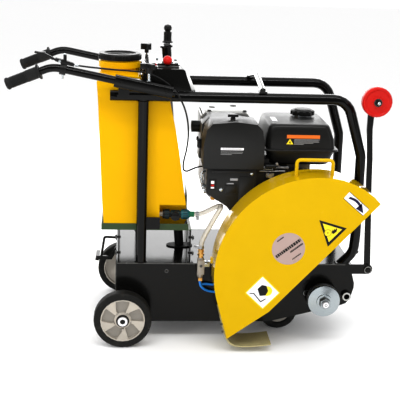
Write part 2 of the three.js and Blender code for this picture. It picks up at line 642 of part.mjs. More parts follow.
// ---------------------------------------------------------------- pointer
function pointerArm() {
  const y1 = -HALF + SHEET;
  const y0 = y1 + GAP;
  const arm = prismY(outline([[LUG.x - 10, LUG.z], [752, 530], [749, 600], [741, 690], [741, 745], [761, 745],
    [759, 690], [767, 600], [770, 530], [LUG.x + 10, LUG.z]]), y0, y0 + 6);
  const eye = cylY(15, y0, y0 + 6, LUG.x, LUG.z, 20);
  const bolt = cylY(6, -HALF - 1, y1 + 1, LUG.x, LUG.z, 16);
  const head = cylY(10, -HALF - 7, -HALF - GAP, LUG.x, LUG.z, 6);
  const neck = prismY(outline([[741, 730], [762, 730], [769, 780], [757.5, 791], [747, 780]]), y0, y0 + 6);
  const axle = cylY(6, -216, y1 + 4, GUIDE.x, GUIDE.z, 16);
  const nut = cylY(10, -224, -215, GUIDE.x, GUIDE.z, 6);
  return join(arm, eye, bolt, head, neck, axle, nut);
}

function pointerWheel() {
  const profile = [[6 + GAP, -214.5], [13, -214.5], [14, -210], [36, -210], [39, -213], [43, -213], [46, -208], [46, -190],
    [43, -185], [39, -185], [36, -188], [14, -188], [13, -180], [6 + GAP, -180], [6 + GAP, -214.5]];
  return new THREE.LatheGeometry(profile.map(([r, y]) => new THREE.Vector2(r, y)), 24).translate(GUIDE.x, 0, GUIDE.z);
}

// ---------------------------------------------------------------- blade guard
const deg = (a) => (a * Math.PI) / 180;
const GUARD_FROM = deg(77);
const GUARD_TO = deg(195);
const GUARD_TOE = [322, 48];
const GUARD_NOSE = [770.5, 488];
const GUARD_BROW = [[692.5, 544], [716.5, 532], [751, 508]]; // flattened run from the crown down to the nose
const GUARD_KNEE = [449, 138.5];

function guardFace() {
  const shape = new THREE.Shape();
  shape.absarc(GUARD.x, GUARD.z, GUARD.r, GUARD_FROM, GUARD_TO, false);
  shape.lineTo(...GUARD_TOE);
  shape.lineTo(...GUARD_KNEE);
  shape.lineTo(...GUARD_NOSE);
  [...GUARD_BROW].reverse().forEach((p) => shape.lineTo(...p));
  shape.closePath();
  return shape;
}

// A point moved toward the guard's centre by the thickness of the band.
function insideBand([x, z]) {
  const reach = Math.hypot(x - GUARD.x, z - GUARD.z);
  const share = 1 - GUARD.band / reach;
  return [GUARD.x + (x - GUARD.x) * share, GUARD.z + (z - GUARD.z) * share];
}

function guardBand() {
  const t = GUARD.band;
  const shape = new THREE.Shape();
  shape.absarc(GUARD.x, GUARD.z, GUARD.r, GUARD_FROM, GUARD_TO, false);
  shape.lineTo(...GUARD_TOE);
  shape.lineTo(GUARD_TOE[0] + 3.2, GUARD_TOE[1] + 1);
  shape.absarc(GUARD.x, GUARD.z, GUARD.r - t, GUARD_TO, GUARD_FROM, true);
  GUARD_BROW.forEach((p) => shape.lineTo(...insideBand(p)));
  shape.lineTo(GUARD_NOSE[0] - t, GUARD_NOSE[1] - 1);
  shape.lineTo(...GUARD_NOSE);
  [...GUARD_BROW].reverse().forEach((p) => shape.lineTo(...p));
  shape.closePath();
  return shape;
}

// Hinge plate at the open back of the guard, from its rear rim to the pivot.
function guardHinge() {
  const { x, z } = GUARD_PIVOT;
  const shape = new THREE.Shape();
  shape.moveTo(284, 330);
  shape.lineTo(278, 215);
  shape.lineTo(x - 14, z - 27);
  shape.absarc(x, z, 30, deg(245), deg(425), false);
  shape.lineTo(330, 400);
  shape.closePath();
  return shape;
}

function bladeGuard() {
  const { outer, back, sheet } = GUARD;
  const inside = new THREE.Shape();
  inside.absarc(GUARD.x, GUARD.z, GUARD.r - 1, 0, 2 * Math.PI, false);
  const hinge = geometryOf(
    solid(prismY(guardHinge(), back - 5, back)).intersect(solid(prismY(inside, back - 8, back + 3, 24))),
  );
  const lug = box(271, 284, back - 14, back - 1, 262, 280);
  const whole = join(
    prismY(guardFace(), outer, outer + sheet, 30),
    prismY(guardBand(), outer + 1, back, 30),
    hinge,
    lug,
  );
  return cut(whole, cylY(GUARD_PIVOT.r + GAP, back - 10, back + 5, GUARD_PIVOT.x, GUARD_PIVOT.z, 20));
}

function guardHandle() {
  const y = -246;
  const foot = (x) => GUARD.z + Math.sqrt(GUARD.r ** 2 - (x - GUARD.x) ** 2) - 6;
  const x0 = 517;
  const x1 = 627;
  const bar = tube([[x0, y, foot(x0)], [x0, y, 609], [x1, y, 609], [x1, y, foot(x1)]], 11, 5.6, 10, 4);
  const drum = cylY(GUARD.r + GAP, y - 20, y + 20, GUARD.x, GUARD.z, 144);
  return cut(bar, drum);
}

function splashFlap() {
  const y0 = GUARD.outer + GUARD.sheet + 2;
  const shape = outline([
    [301.3, 119.9], [321.6, 47.9], [334, 32], [348, 24], [366, 21], [400, 21], [440, 25], [462, 28.5],
    [462, 24.5], [440, 21], [400, 17], [365, 17], [345, 20], [330, 29.5], [317.8, 46.8], [297.5, 118.8],
  ]);
  return prismY(shape, y0, -192);
}

// ---------------------------------------------------------------- blade shaft and drive
function bladeShaft() {
  const { x, z, r, thread, flange } = SHAFT;
  return join(
    cylY(r, -232, 170, x, z, 24),
    cylY(thread, -262, -230, x, z, 16),
    cylY(flange, -217, -203, x, z, 36),
  );
}

function outerFlange() {
  const { x, z, r, thread, flange } = SHAFT;
  const disc = cut(cylY(flange, -231, -217 - GAP, x, z, 40), cylY(r + GAP, -240, -210, x, z, 24));
  const step = cut(cylY(24, -236, -230.5, x, z, 24), cylY(r + GAP, -237, -232.6, x, z, 24), cylY(r + GAP, -240, -228, x, z, 24));
  const nut = cut(cylY(18, -254, -235.5, x, z, 6), cylY(thread + GAP, -260, -230, x, z, 16));
  return join(disc, step, nut);
}

function bearing(y0, y1) {
  const { x, z, r } = SHAFT;
  const shape = new THREE.Shape();
  const top = DECK - SHEET - GAP;
  shape.moveTo(x + 30, top);
  shape.lineTo(x - 30, top);
  shape.lineTo(x - 30, z + 16);
  shape.absarc(x, z, 34, Math.PI - deg(28), 2 * Math.PI + deg(28), false);
  shape.closePath();
  return cut(prismY(shape, y0, y1, 16), cylY(r + GAP, y0 - EPS, y1 + EPS, x, z, 24));
}

function pulleyWheel(radius, bore) {
  const { from, to } = PULLEY;
  const rim = radius + 8;
  const profile = [[bore, from], [rim, from], [rim, from + 3], [radius, from + 4], [radius, to - 4], [rim, to - 3],
    [rim, to], [bore, to], [bore, from]];
  return new THREE.LatheGeometry(profile.map(([a, y]) => new THREE.Vector2(a, y)), 24);
}

// The loop of belt round two pulleys, as the outline between their outer tangents.
function beltLoop(extra) {
  const dx = SHAFT.x - CRANK.x;
  const dz = SHAFT.z - CRANK.z;
  const span = Math.hypot(dx, dz);
  const r0 = PULLEY.engine + extra;
  const r1 = PULLEY.blade + extra;
  const along = Math.atan2(dz, dx);
  const spread = Math.acos((r0 - r1) / span);
  const shape = new THREE.Shape();
  shape.absarc(CRANK.x, CRANK.z, r0, along + spread, along - spread + 2 * Math.PI, false);
  shape.absarc(SHAFT.x, SHAFT.z, r1, along - spread, along + spread, false);
  shape.closePath();
  return shape;
}

function driveBelt() {
  const y0 = PULLEY.from + 4 + GAP;
  const y1 = PULLEY.to - 4 - GAP;
  return cut(prismY(beltLoop(BELT + 0.6), y0, y1, 12), prismY(beltLoop(0.6), y0 - EPS, y1 + EPS, 12));
}

function enginePulley() {
  const wheel = pulleyWheel(PULLEY.engine, 5).translate(CRANK.x, 0, CRANK.z);
  return join(wheel, cylY(12.5, 117.5 + GAP, PULLEY.to + 3, CRANK.x, CRANK.z, 20));
}

function beltGuard() {
  const shell = (t, down) => outline([
    [396 + t, DECK + GAP - down], [396 + t, 410 - t / 2], [438 + t / 2, 474 - t], [540 - t / 2, 474 - t],
    [670 - t, 336 - t / 2], [670 - t, DECK + GAP - down],
  ]);
  return cut(prismY(shell(0, 0), 118, 176), prismY(shell(2.5, 5), 110, 173.5));
}

// ---------------------------------------------------------------- engine
function engineBlock() {
  const foot = DECK + 10 + GAP;
  const crankcase = outline([[390, foot], [600, foot], [608, 300], [608, 470], [580, 500], [430, 512], [390, 470]]);
  const cylinder = outline([[396, 322], [396, 520], [264, 556], [246, 536], [246, 472], [268, 448], [320, 424]]);
  const fins = [];
  for (let k = 0; k < 6; k++) {
    fins.push(box(272 + 18 * k, 281 + 18 * k, -104, 106, 444 - 6 * k, 560 - 5 * k));
  }
  return join(
    prismY(crankcase, -105, 112),
    prismY(cylinder, -92, 94),
    box(368, 622, -104, 112, foot, foot + 13),
    box(450, 590, -80, 50, 490, 567),
    cylY(48, 111, 117.5, CRANK.x, CRANK.z, 24),
    ...fins,
  );
}

function fanShroud() {
  const front = -182;
  const back = -105 - GAP;
  const drum = cylY(118, -168, back, CRANK.x, CRANK.z, 36);
  const dome = cylY(104, front + 4, -166, CRANK.x, CRANK.z, 36);
  const cover = cylY(60, front, front + 5, CRANK.x, CRANK.z, 28);
  const hood = prismY(outline([[404, 400], [596, 400], [602, 440], [598, 520], [560, 548], [404, 548]]), -166, back);
  const box1 = prismY(outline([[332, 432], [404, 432], [404, 561], [252, 561], [252, 486], [258, 480]]), front - 2, -112);
  return join(drum, dome, cover, hood, box1);
}

const RECOIL = { x: 448, y: -178, z: 566, dir: [0, -0.5, 0.866] };

function recoilGrip() {
  const { x, y, z, dir } = RECOIL;
  const bar = cylX(7.5, x - 17, x + 17, y + 6 * dir[1], z + 6 * dir[2], 12);
  const stem = latheAlong([[0, -10], [4, -10], [4, 4], [0, 4]], [x, y, z], dir, 10);
  return join(bar, stem);
}

function fuelTank() {
  const floor = 568;
  const seam = 616;
  const top = 697;
  const level = (z, x0, x1, y0, y1, c) => [
    [x0 + c, y0, z], [x1 - c, y0, z], [x1, y0 + c, z], [x1, y1 - c, z], [x1 - c, y1, z], [x0 + c, y1, z],
    [x0, y1 - c, z], [x0, y0 + c, z],
  ];
  const lower = loft([level(floor, 445, 640, -146, 58, 20), level(seam, 434, 652, -160, 72, 20)]);
  const upper = loft([level(seam + 4, 434, 652, -160, 72, 20), level(652, 434, 648, -158, 70, 20),
    level(688, 443, 634, -152, 64, 20), level(top, 455, 624, -141, 54, 20)]);
  const inside = loft([level(seam - 20, 444, 642, -148, 60, 18), level(652, 437, 645, -155, 67, 18),
    level(685, 447, 630, -148, 60, 18)]);
  const filler = cylZ(20, 670, top + 10, 570, 0, 20);
  const flange = loft([level(seam - 1, 425, 662, -168, 80, 18), level(seam + 5, 425, 662, -168, 80, 18)]);
  return cut(join(lower, flange, upper, cylZ(26, top - 8, top + 4, 570, 0, 24)), join(inside, filler));
}

// A closed loft through rings of equal point counts, each ring counterclockwise from above.
function loft(rings) {
  const n = rings[0].length;
  const positions = rings.flat(2);
  const index = [];
  for (let r = 0; r < rings.length - 1; r++) {
    for (let i = 0; i < n; i++) {
      const a = r * n + i;
      const b = r * n + ((i + 1) % n);
      index.push(a, b, b + n, a, b + n, a + n);
    }
  }
  const last = (rings.length - 1) * n;
  for (let i = 1; i < n - 1; i++) {
    index.push(0, i + 1, i, last, last + i, last + i + 1);
  }
  const geometry = new THREE.BufferGeometry();
  geometry.setAttribute('position', new THREE.Float32BufferAttribute(positions, 3));
  geometry.setIndex(index);
  return geometry;
}

function fuelCap() {
  const z = 697 + 4 + GAP;
  const cap = cylZ(37, z, z + 15, 570, 0, 16, 35);
  return join(cap, cylZ(28, z + 14, z + 18, 570, 0, 24));
}

function airCleaner() {
  const front = outline([[238, 566], [424, 566], [424, 640], [417, 684], [400, 704], [335, 711], [264, 704], [247, 684],
    [238, 640]]);
  const base = outline([[232, 572], [412, 572], [404, 690], [330, 706], [262, 702], [240, 680]]);
  return join(prismY(front, -200, -86), prismY(base, -87, -8), cylZ(8, 700, 714, 329, -150, 16));
}

function airCleanerNut() {
  const z = 714 + GAP;
  return join(cylZ(7, z, z + 8, 329, -150, 12), box(313, 345, -153, -147, z + 3, z + 11));
}

function muffler() {
  const shape = outline([[242, 575], [400, 575], [406, 600], [402, 688], [388, 702], [256, 702], [242, 690]]);
  return cut(
    join(prismY(shape, -4, 132), cylX(19, 214, 250, 30, 650, 20), box(300, 340, 40, 80, 560.6, 580)),
    cylX(14, 210, 260, 30, 650, 16),
    box(246, 398, 0, 128, 582, 695),
  );
}

function engineSwitch() {
  const y = -184 - GAP;
  return prismY(outline([[263, 500], [277, 500], [277, 526], [263, 526]]), y - 5, y);
}

// ---------------------------------------------------------------- assembly
const sides = { right: -1, left: 1 };

add('chassis', chassis(), M.black);
for (const [name, side] of Object.entries(sides)) {
  add(`side_frame_${name}`, sideFrame(side), M.black);
  add(`handlebar_${name}`, handlebar(side), M.black);
  add(`grip_${name}`, grip(side), M.rubber);
  add(`wing_knob_${name}`, wingKnob(side), M.plastic);
  add(`rear_tyre_${name}`, rearTyre(side), M.rubber);
  add(`rear_rim_${name}`, rearRim(side), M.cast);
  add(`front_wheel_${name}`, frontWheel(side), M.rubber);
}
add('lifting_bar', liftingBar(), M.silver);
add('control_panel', controlPanel(), M.black);
add('lever_bracket', leverBracket(), M.plastic);
add('hand_lever', handLever(), M.plastic);
add('throttle_cable', hose(CABLE_ROUTE, 2.6, 8, 44), M.plastic);

add('water_tank', waterTank(), M.tank);
add('tank_lid', tankLid(), M.plastic);
add('tank_tray', tankTray(), M.tray);
add('tank_valve', tankValve(), M.teal);
add('tank_valve_knob', tankValveKnob(), M.plastic);
add('clear_hose', hose(CLEAR_HOSE_ROUTE, 7.5, 10, 18), M.clear);
add('tap_body', tapBody(), M.zinc);
add('tap_lever', tapLever(), M.silver);
for (const [name, route] of Object.entries(BLUE_HOSES)) {
  add(name, hose(route, 3.7, 8, 24), M.blue);
}

add('rear_axle', rearAxle(), M.steel);
add('brake_pedal', brakePedal(), M.black);
add('front_swing_frame', swingFrame(), M.black);
add('depth_screw', depthScrew(), M.steel);
add('crank_arm', crankArm(), M.black);
add('crank_grip', crankGrip(), M.plastic);
add('throttle_lever', throttleLever(), M.red);
add('stop_button', stopButton(), M.red);
add('pointer_arm', pointerArm(), M.black);
add('pointer_wheel', pointerWheel(), M.red);

add('blade_guard', bladeGuard(), M.yellow);
add('guard_handle', guardHandle(), M.yellow);
add('splash_flap', splashFlap(), M.flap);
add('blade_shaft', bladeShaft(), M.steel);
add('outer_flange', outerFlange(), M.zinc);
add('bearing_right', bearing(-166, -140), M.steel);
add('bearing_left', bearing(95, 121), M.steel);
add('blade_pulley', pulleyWheel(PULLEY.blade, SHAFT.r + GAP).translate(SHAFT.x, 0, SHAFT.z), M.steel);
add('drive_belt', driveBelt(), M.rubber);
add('belt_guard', beltGuard(), M.black);
add('engine_pulley', enginePulley(), M.steel);

add('engine_block', engineBlock(), M.plastic);
add('fan_shroud', fanShroud(), M.plastic);
add('recoil_grip', recoilGrip(), M.plastic);
add('fuel_tank', fuelTank(), M.plastic);
add('fuel_cap', fuelCap(), M.plastic);
add('air_cleaner', airCleaner(), M.plastic);
add('air_cleaner_nut', airCleanerNut(), M.plastic);
add('muffler', muffler(), M.silver);
add('engine_switch', engineSwitch(), M.plastic);

// Stand the whole machine on the origin by the middle of its box.
const bounds = new THREE.Box3().setFromObject(root);
const middle = bounds.getCenter(new THREE.Vector3());
root.position.set(-middle.x, -middle.y, -bounds.min.z);

export default root;
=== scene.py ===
"""Looks of the walk-behind concrete saw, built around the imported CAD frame. Design millimetres: X = 0 over
the rear axle, Y = 0 mid-width, Z = 0 the ground; place() turns them into the row frame's metres."""
import json
import math
import random
from contextlib import contextmanager

import bmesh
import bpy
from mathutils import Matrix, Vector


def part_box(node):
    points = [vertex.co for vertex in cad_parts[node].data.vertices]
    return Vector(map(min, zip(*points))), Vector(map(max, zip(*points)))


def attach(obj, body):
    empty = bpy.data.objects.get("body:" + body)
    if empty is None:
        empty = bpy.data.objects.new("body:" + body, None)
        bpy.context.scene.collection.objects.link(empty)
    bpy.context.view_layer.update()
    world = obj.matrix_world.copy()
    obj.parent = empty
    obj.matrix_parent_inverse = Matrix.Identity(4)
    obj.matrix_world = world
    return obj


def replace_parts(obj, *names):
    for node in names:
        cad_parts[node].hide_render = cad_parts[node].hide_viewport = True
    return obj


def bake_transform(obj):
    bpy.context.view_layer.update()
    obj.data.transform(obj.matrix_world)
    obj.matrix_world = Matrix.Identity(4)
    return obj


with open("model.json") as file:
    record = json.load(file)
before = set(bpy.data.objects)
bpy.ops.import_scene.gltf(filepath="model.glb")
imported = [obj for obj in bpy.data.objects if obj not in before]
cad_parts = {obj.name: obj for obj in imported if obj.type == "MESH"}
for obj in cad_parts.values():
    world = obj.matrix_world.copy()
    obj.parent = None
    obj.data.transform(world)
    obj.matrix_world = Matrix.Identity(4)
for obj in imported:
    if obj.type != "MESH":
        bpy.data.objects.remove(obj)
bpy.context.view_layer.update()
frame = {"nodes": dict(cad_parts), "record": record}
AXLE_LO, AXLE_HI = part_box("rear_axle")
ORIGIN = Vector(((AXLE_LO.x + AXLE_HI.x) / 2, (AXLE_LO.y + AXLE_HI.y) / 2, 0))
BODY_OF = {n: b for b, nodes in frame["record"]["behaviour"]["bodies"].items() for n in nodes}
random.seed(7)

# ---- camera
YAW, PITCH, ROLL = (math.radians(a) for a in (4.62, 16.0, 1.95))
EYE = (7.31, -2983.24, 1267.6)
SENSOR = 36
LENS_PER_SENSOR = 947.62 / 400

# ---- where things are, design mm
RIGHT, LEFT, UP = (0, -1, 0), (0, 1, 0), (0, 0, 1)
FORWARD, BACKWARD = (1, 0, 0), (-1, 0, 0)
SIDES = ((-1, "right"), (1, "left"))
DECK_TOP = 252
SIDE_PLATE = 177
POST_X, RAIL_Y = 55, 161
HANDLE_Y = 205
PANEL_TOP = 861.1
SCREW_FOOT_X = 184
CRANK_X, CRANK_Z = 129, 881
GUARD_X, GUARD_Z = 585, 257
GUARD_FACE = -296.05
BADGE_X, BADGE_Z = 498, 344
BADGE_TILT = math.radians(38)
SHAFT_X, SHAFT_Z = 633.5, 147
REAR_HUB_Z = 90
FRONT_HUB_X, FRONT_HUB_Z = 510, 62.5
POINTER_X, POINTER_Z = 779, 236
GUIDE_X, GUIDE_Z = 757.5, 781
CONTROL_FACE = -184
AIR_FACE = -200.1
RECOIL_X, RECOIL_Z = 485, 394
FILLER_X, FILLER_Z = 570, 696.9
MUFFLER_TOP = 702.1
VALVE_Y, VALVE_Z = -120, 397
TAP_X, TAP_Y = 241, -196
TANK_NECK_X = -18

ROUND = 2 * math.pi


def place(p):
    return Vector(p) * 0.001 + ORIGIN


def from_axis(p, x, z):
    """Distance of a point from the crosswise axis through (x, z)."""
    return math.hypot(p.x - x, p.z - z)


def around(count, radius, x, z):
    """Evenly spaced (angle, x, z) on a circle in the XZ plane."""
    angles = [ROUND * k / count for k in range(count)]
    return [(a, x + radius * math.cos(a), z + radius * math.sin(a)) for a in angles]


# ---- shader nodes
def new_node(tree, kind, values=None, **settings):
    """A shader node with its settings and the values of its unwired inputs."""
    made = tree.nodes.new("ShaderNode" + kind)
    for key, value in settings.items():
        setattr(made, key, value)
    for key, value in (values or {}).items():
        made.inputs[key].default_value = value
    return made


def wire(tree, a, out, b, into):
    tree.links.new(a.outputs[out], b.inputs[into])


def noise(tree, where, scale, detail):
    made = new_node(tree, "TexNoise", {"Scale": scale, "Detail": detail})
    wire(tree, where, "Object", made, "Vector")
    return made


def remap(tree, source, out, from_min, from_max, to_min, to_max):
    made = new_node(tree, "MapRange", {"From Min": from_min, "From Max": from_max, "To Min": to_min,
                                       "To Max": to_max})
    wire(tree, source, out, made, "Value")
    return made


def tint(tree, below, amount, colour):
    """Lays a colour over a colour mix, by an amount."""
    made = new_node(tree, "Mix", {7: (*colour, 1)}, data_type="RGBA")
    wire(tree, below, 2, made, 6)
    wire(tree, amount, "Result", made, 0)
    return made


def edge_wear_and_highlight(tree):
    """0 on flat faces, up to 0.5 where the surface turns a corner; the mask for lighter edges that are partly
    worn paint and partly a painted highlight.
    """
    rounded = new_node(tree, "Bevel", {"Radius": 0.0012}, samples=4)
    flat = new_node(tree, "NewGeometry")
    bend = new_node(tree, "VectorMath", operation="DOT_PRODUCT")
    wire(tree, rounded, "Normal", bend, 0)
    wire(tree, flat, "Normal", bend, 1)
    return remap(tree, bend, "Value", 0.985, 0.88, 0, 0.5)


# ---- camera, floor, light
def make_camera():
    forward = Vector((math.sin(YAW) * math.cos(PITCH), math.cos(YAW) * math.cos(PITCH), -math.sin(PITCH)))
    right = Vector((math.cos(YAW), -math.sin(YAW), 0))
    up = right.cross(forward)
    across = right * math.cos(ROLL) + up * math.sin(ROLL)
    above = up * math.cos(ROLL) - right * math.sin(ROLL)
    data = bpy.data.cameras.new("camera")
    data.sensor_width = SENSOR
    data.lens = SENSOR * LENS_PER_SENSOR
    cam = bpy.data.objects.new("camera", data)
    turn = Matrix((across, above, -forward)).transposed().to_4x4()
    cam.matrix_world = Matrix.Translation(place(EYE)) @ turn
    bpy.context.collection.objects.link(cam)
    bpy.context.scene.camera = cam


def area_light(name, at, aim, size, power):
    data = bpy.data.lights.new(name, "AREA")
    data.shape = "RECTANGLE"
    data.size, data.size_y = size
    data.energy = power
    lamp = bpy.data.objects.new(name, data)
    lamp.location = at
    lamp.rotation_mode = "QUATERNION"
    lamp.visible_camera = False
    lamp.rotation_quaternion = (Vector(aim) - Vector(at)).to_track_quat("-Z", "Y")
    bpy.context.collection.objects.link(lamp)


def light_room(tree):
    """White all round for the backdrop and the fill; what shines sees a dimmer room in front and below."""
    background = tree.nodes["Background"]
    background.inputs["Color"].default_value = (1, 1, 1, 1)
    toward = new_node(tree, "TexCoord")
    parts = new_node(tree, "SeparateXYZ")
    wire(tree, toward, "Generated", parts, "Vector")
    lean = new_node(tree, "Math", {1: 1.4}, operation="MULTIPLY_ADD")
    wire(tree, parts, "Z", lean, 0)
    wire(tree, parts, "Y", lean, 2)
    room = remap(tree, lean, "Value", -0.35, 0.75, 0.2, 1.0)
    ray = new_node(tree, "LightPath")
    shown = new_node(tree, "Mix", {2: 1.0})
    wire(tree, ray, "Is Glossy Ray", shown, 0)
    wire(tree, room, "Result", shown, 3)
    seen = new_node(tree, "Mix", {3: 1.12})
    wire(tree, ray, "Is Camera Ray", seen, 0)
    wire(tree, shown, 0, seen, 2)
    wire(tree, seen, 0, background, "Strength")


def make_stage():
    world = bpy.data.worlds.new("studio")
    bpy.context.scene.world = world
    world.use_nodes = True
    light_room(world.node_tree)
    area_light("top_light", (0.1, -0.3, 3.0), (0, 0, 0.3), (2.8, 2.2), 14)
    area_light("top_strip", (0.0, -1.1, 2.1), (0, 0, 0.6), (2.6, 0.12), 19)
    area_light("left_strip", (-2.0, -2.0, 1.1), (0, 0, 0.5), (0.14, 1.7), 9)
    area_light("right_strip", (2.2, -1.7, 1.2), (0, 0, 0.5), (0.12, 1.5), 4)
    area_light("low_fill", (-0.3, -2.3, 0.25), (0, 0, 0.1), (2.2, 0.3), 3)
    area_light("back_light", (0, 2.7, 1.25), (0, 0, 0.3), (3.6, 2.0), 60)
    bm = bmesh.new()
    bmesh.ops.create_grid(bm, x_segments=1, y_segments=1, size=14)
    mesh = bpy.data.meshes.new("floor")
    bm.to_mesh(mesh)
    floor = bpy.data.objects.new("floor", mesh)
    floor.location.z = -0.0005
    bpy.context.collection.objects.link(floor)
    mesh.materials.append(make_material("floor_white", (0.985, 0.985, 0.985), 0.7, peel=0.02, spread=0.01,
                                        specular=0.2))
    bpy.context.scene.view_settings.view_transform = "Standard"
    bpy.context.scene.view_settings.gamma = 0.84


# ---- materials
SOIL = (0.2, 0.18, 0.15)


def make_material(name, base, rough, metallic=0.0, spread=0.12, scale=18.0, peel=0.1, peel_scale=420.0,
                  edge=None, coat=0.0, specular=0.5, subsurface=0.0, transmission=0.0, rough_spread=0.08,
                  grime=0.0):
    """A surface whose colour and roughness drift, with a fine bump and, if asked, dirt and lighter edges that
    are partly worn paint and partly a painted highlight.
    """
    material = bpy.data.materials.new(name)
    material.use_nodes = True
    tree = material.node_tree
    shader = tree.nodes["Principled BSDF"]
    shader.inputs["Metallic"].default_value = metallic
    shader.inputs["Specular IOR Level"].default_value = specular
    shader.inputs["Coat Weight"].default_value = coat
    shader.inputs["Coat Roughness"].default_value = 0.06
    if subsurface:
        shader.inputs["Subsurface Weight"].default_value = subsurface
        shader.inputs["Subsurface Radius"].default_value = (0.02, 0.012, 0.004)
    if transmission:
        shader.inputs["Transmission Weight"].default_value = transmission
        shader.inputs["IOR"].default_value = 1.38
    where = new_node(tree, "TexCoord")
    broad = noise(tree, where, scale, 5)
    darker = tuple(c * (1 - spread) for c in base)
    lighter = tuple(min(1, c * (1 + spread)) for c in base)
    colour = new_node(tree, "Mix", {6: (*darker, 1), 7: (*lighter, 1)}, data_type="RGBA")
    wire(tree, broad, "Fac", colour, 0)
    if grime:
        dust = noise(tree, where, scale * 3.1, 8)
        colour = tint(tree, colour, remap(tree, dust, "Fac", 0.5, 0.75, 0, grime), SOIL)
    # Lighter edges: partly worn paint, partly a painted highlight along corners.
    if edge is not None:
        colour = tint(tree, colour, edge_wear_and_highlight(tree), edge)
    wire(tree, colour, 2, shader, "Base Color")
    shine = remap(tree, broad, "Fac", 0, 1, max(0.02, rough - rough_spread), min(1.0, rough + rough_spread))
    wire(tree, shine, "Result", shader, "Roughness")
    bump = new_node(tree, "Bump", {"Strength": peel, "Distance": 0.0006})
    wire(tree, noise(tree, where, peel_scale, 3), "Fac", bump, "Height")
    wire(tree, bump, "Normal", shader, "Normal")
    return material


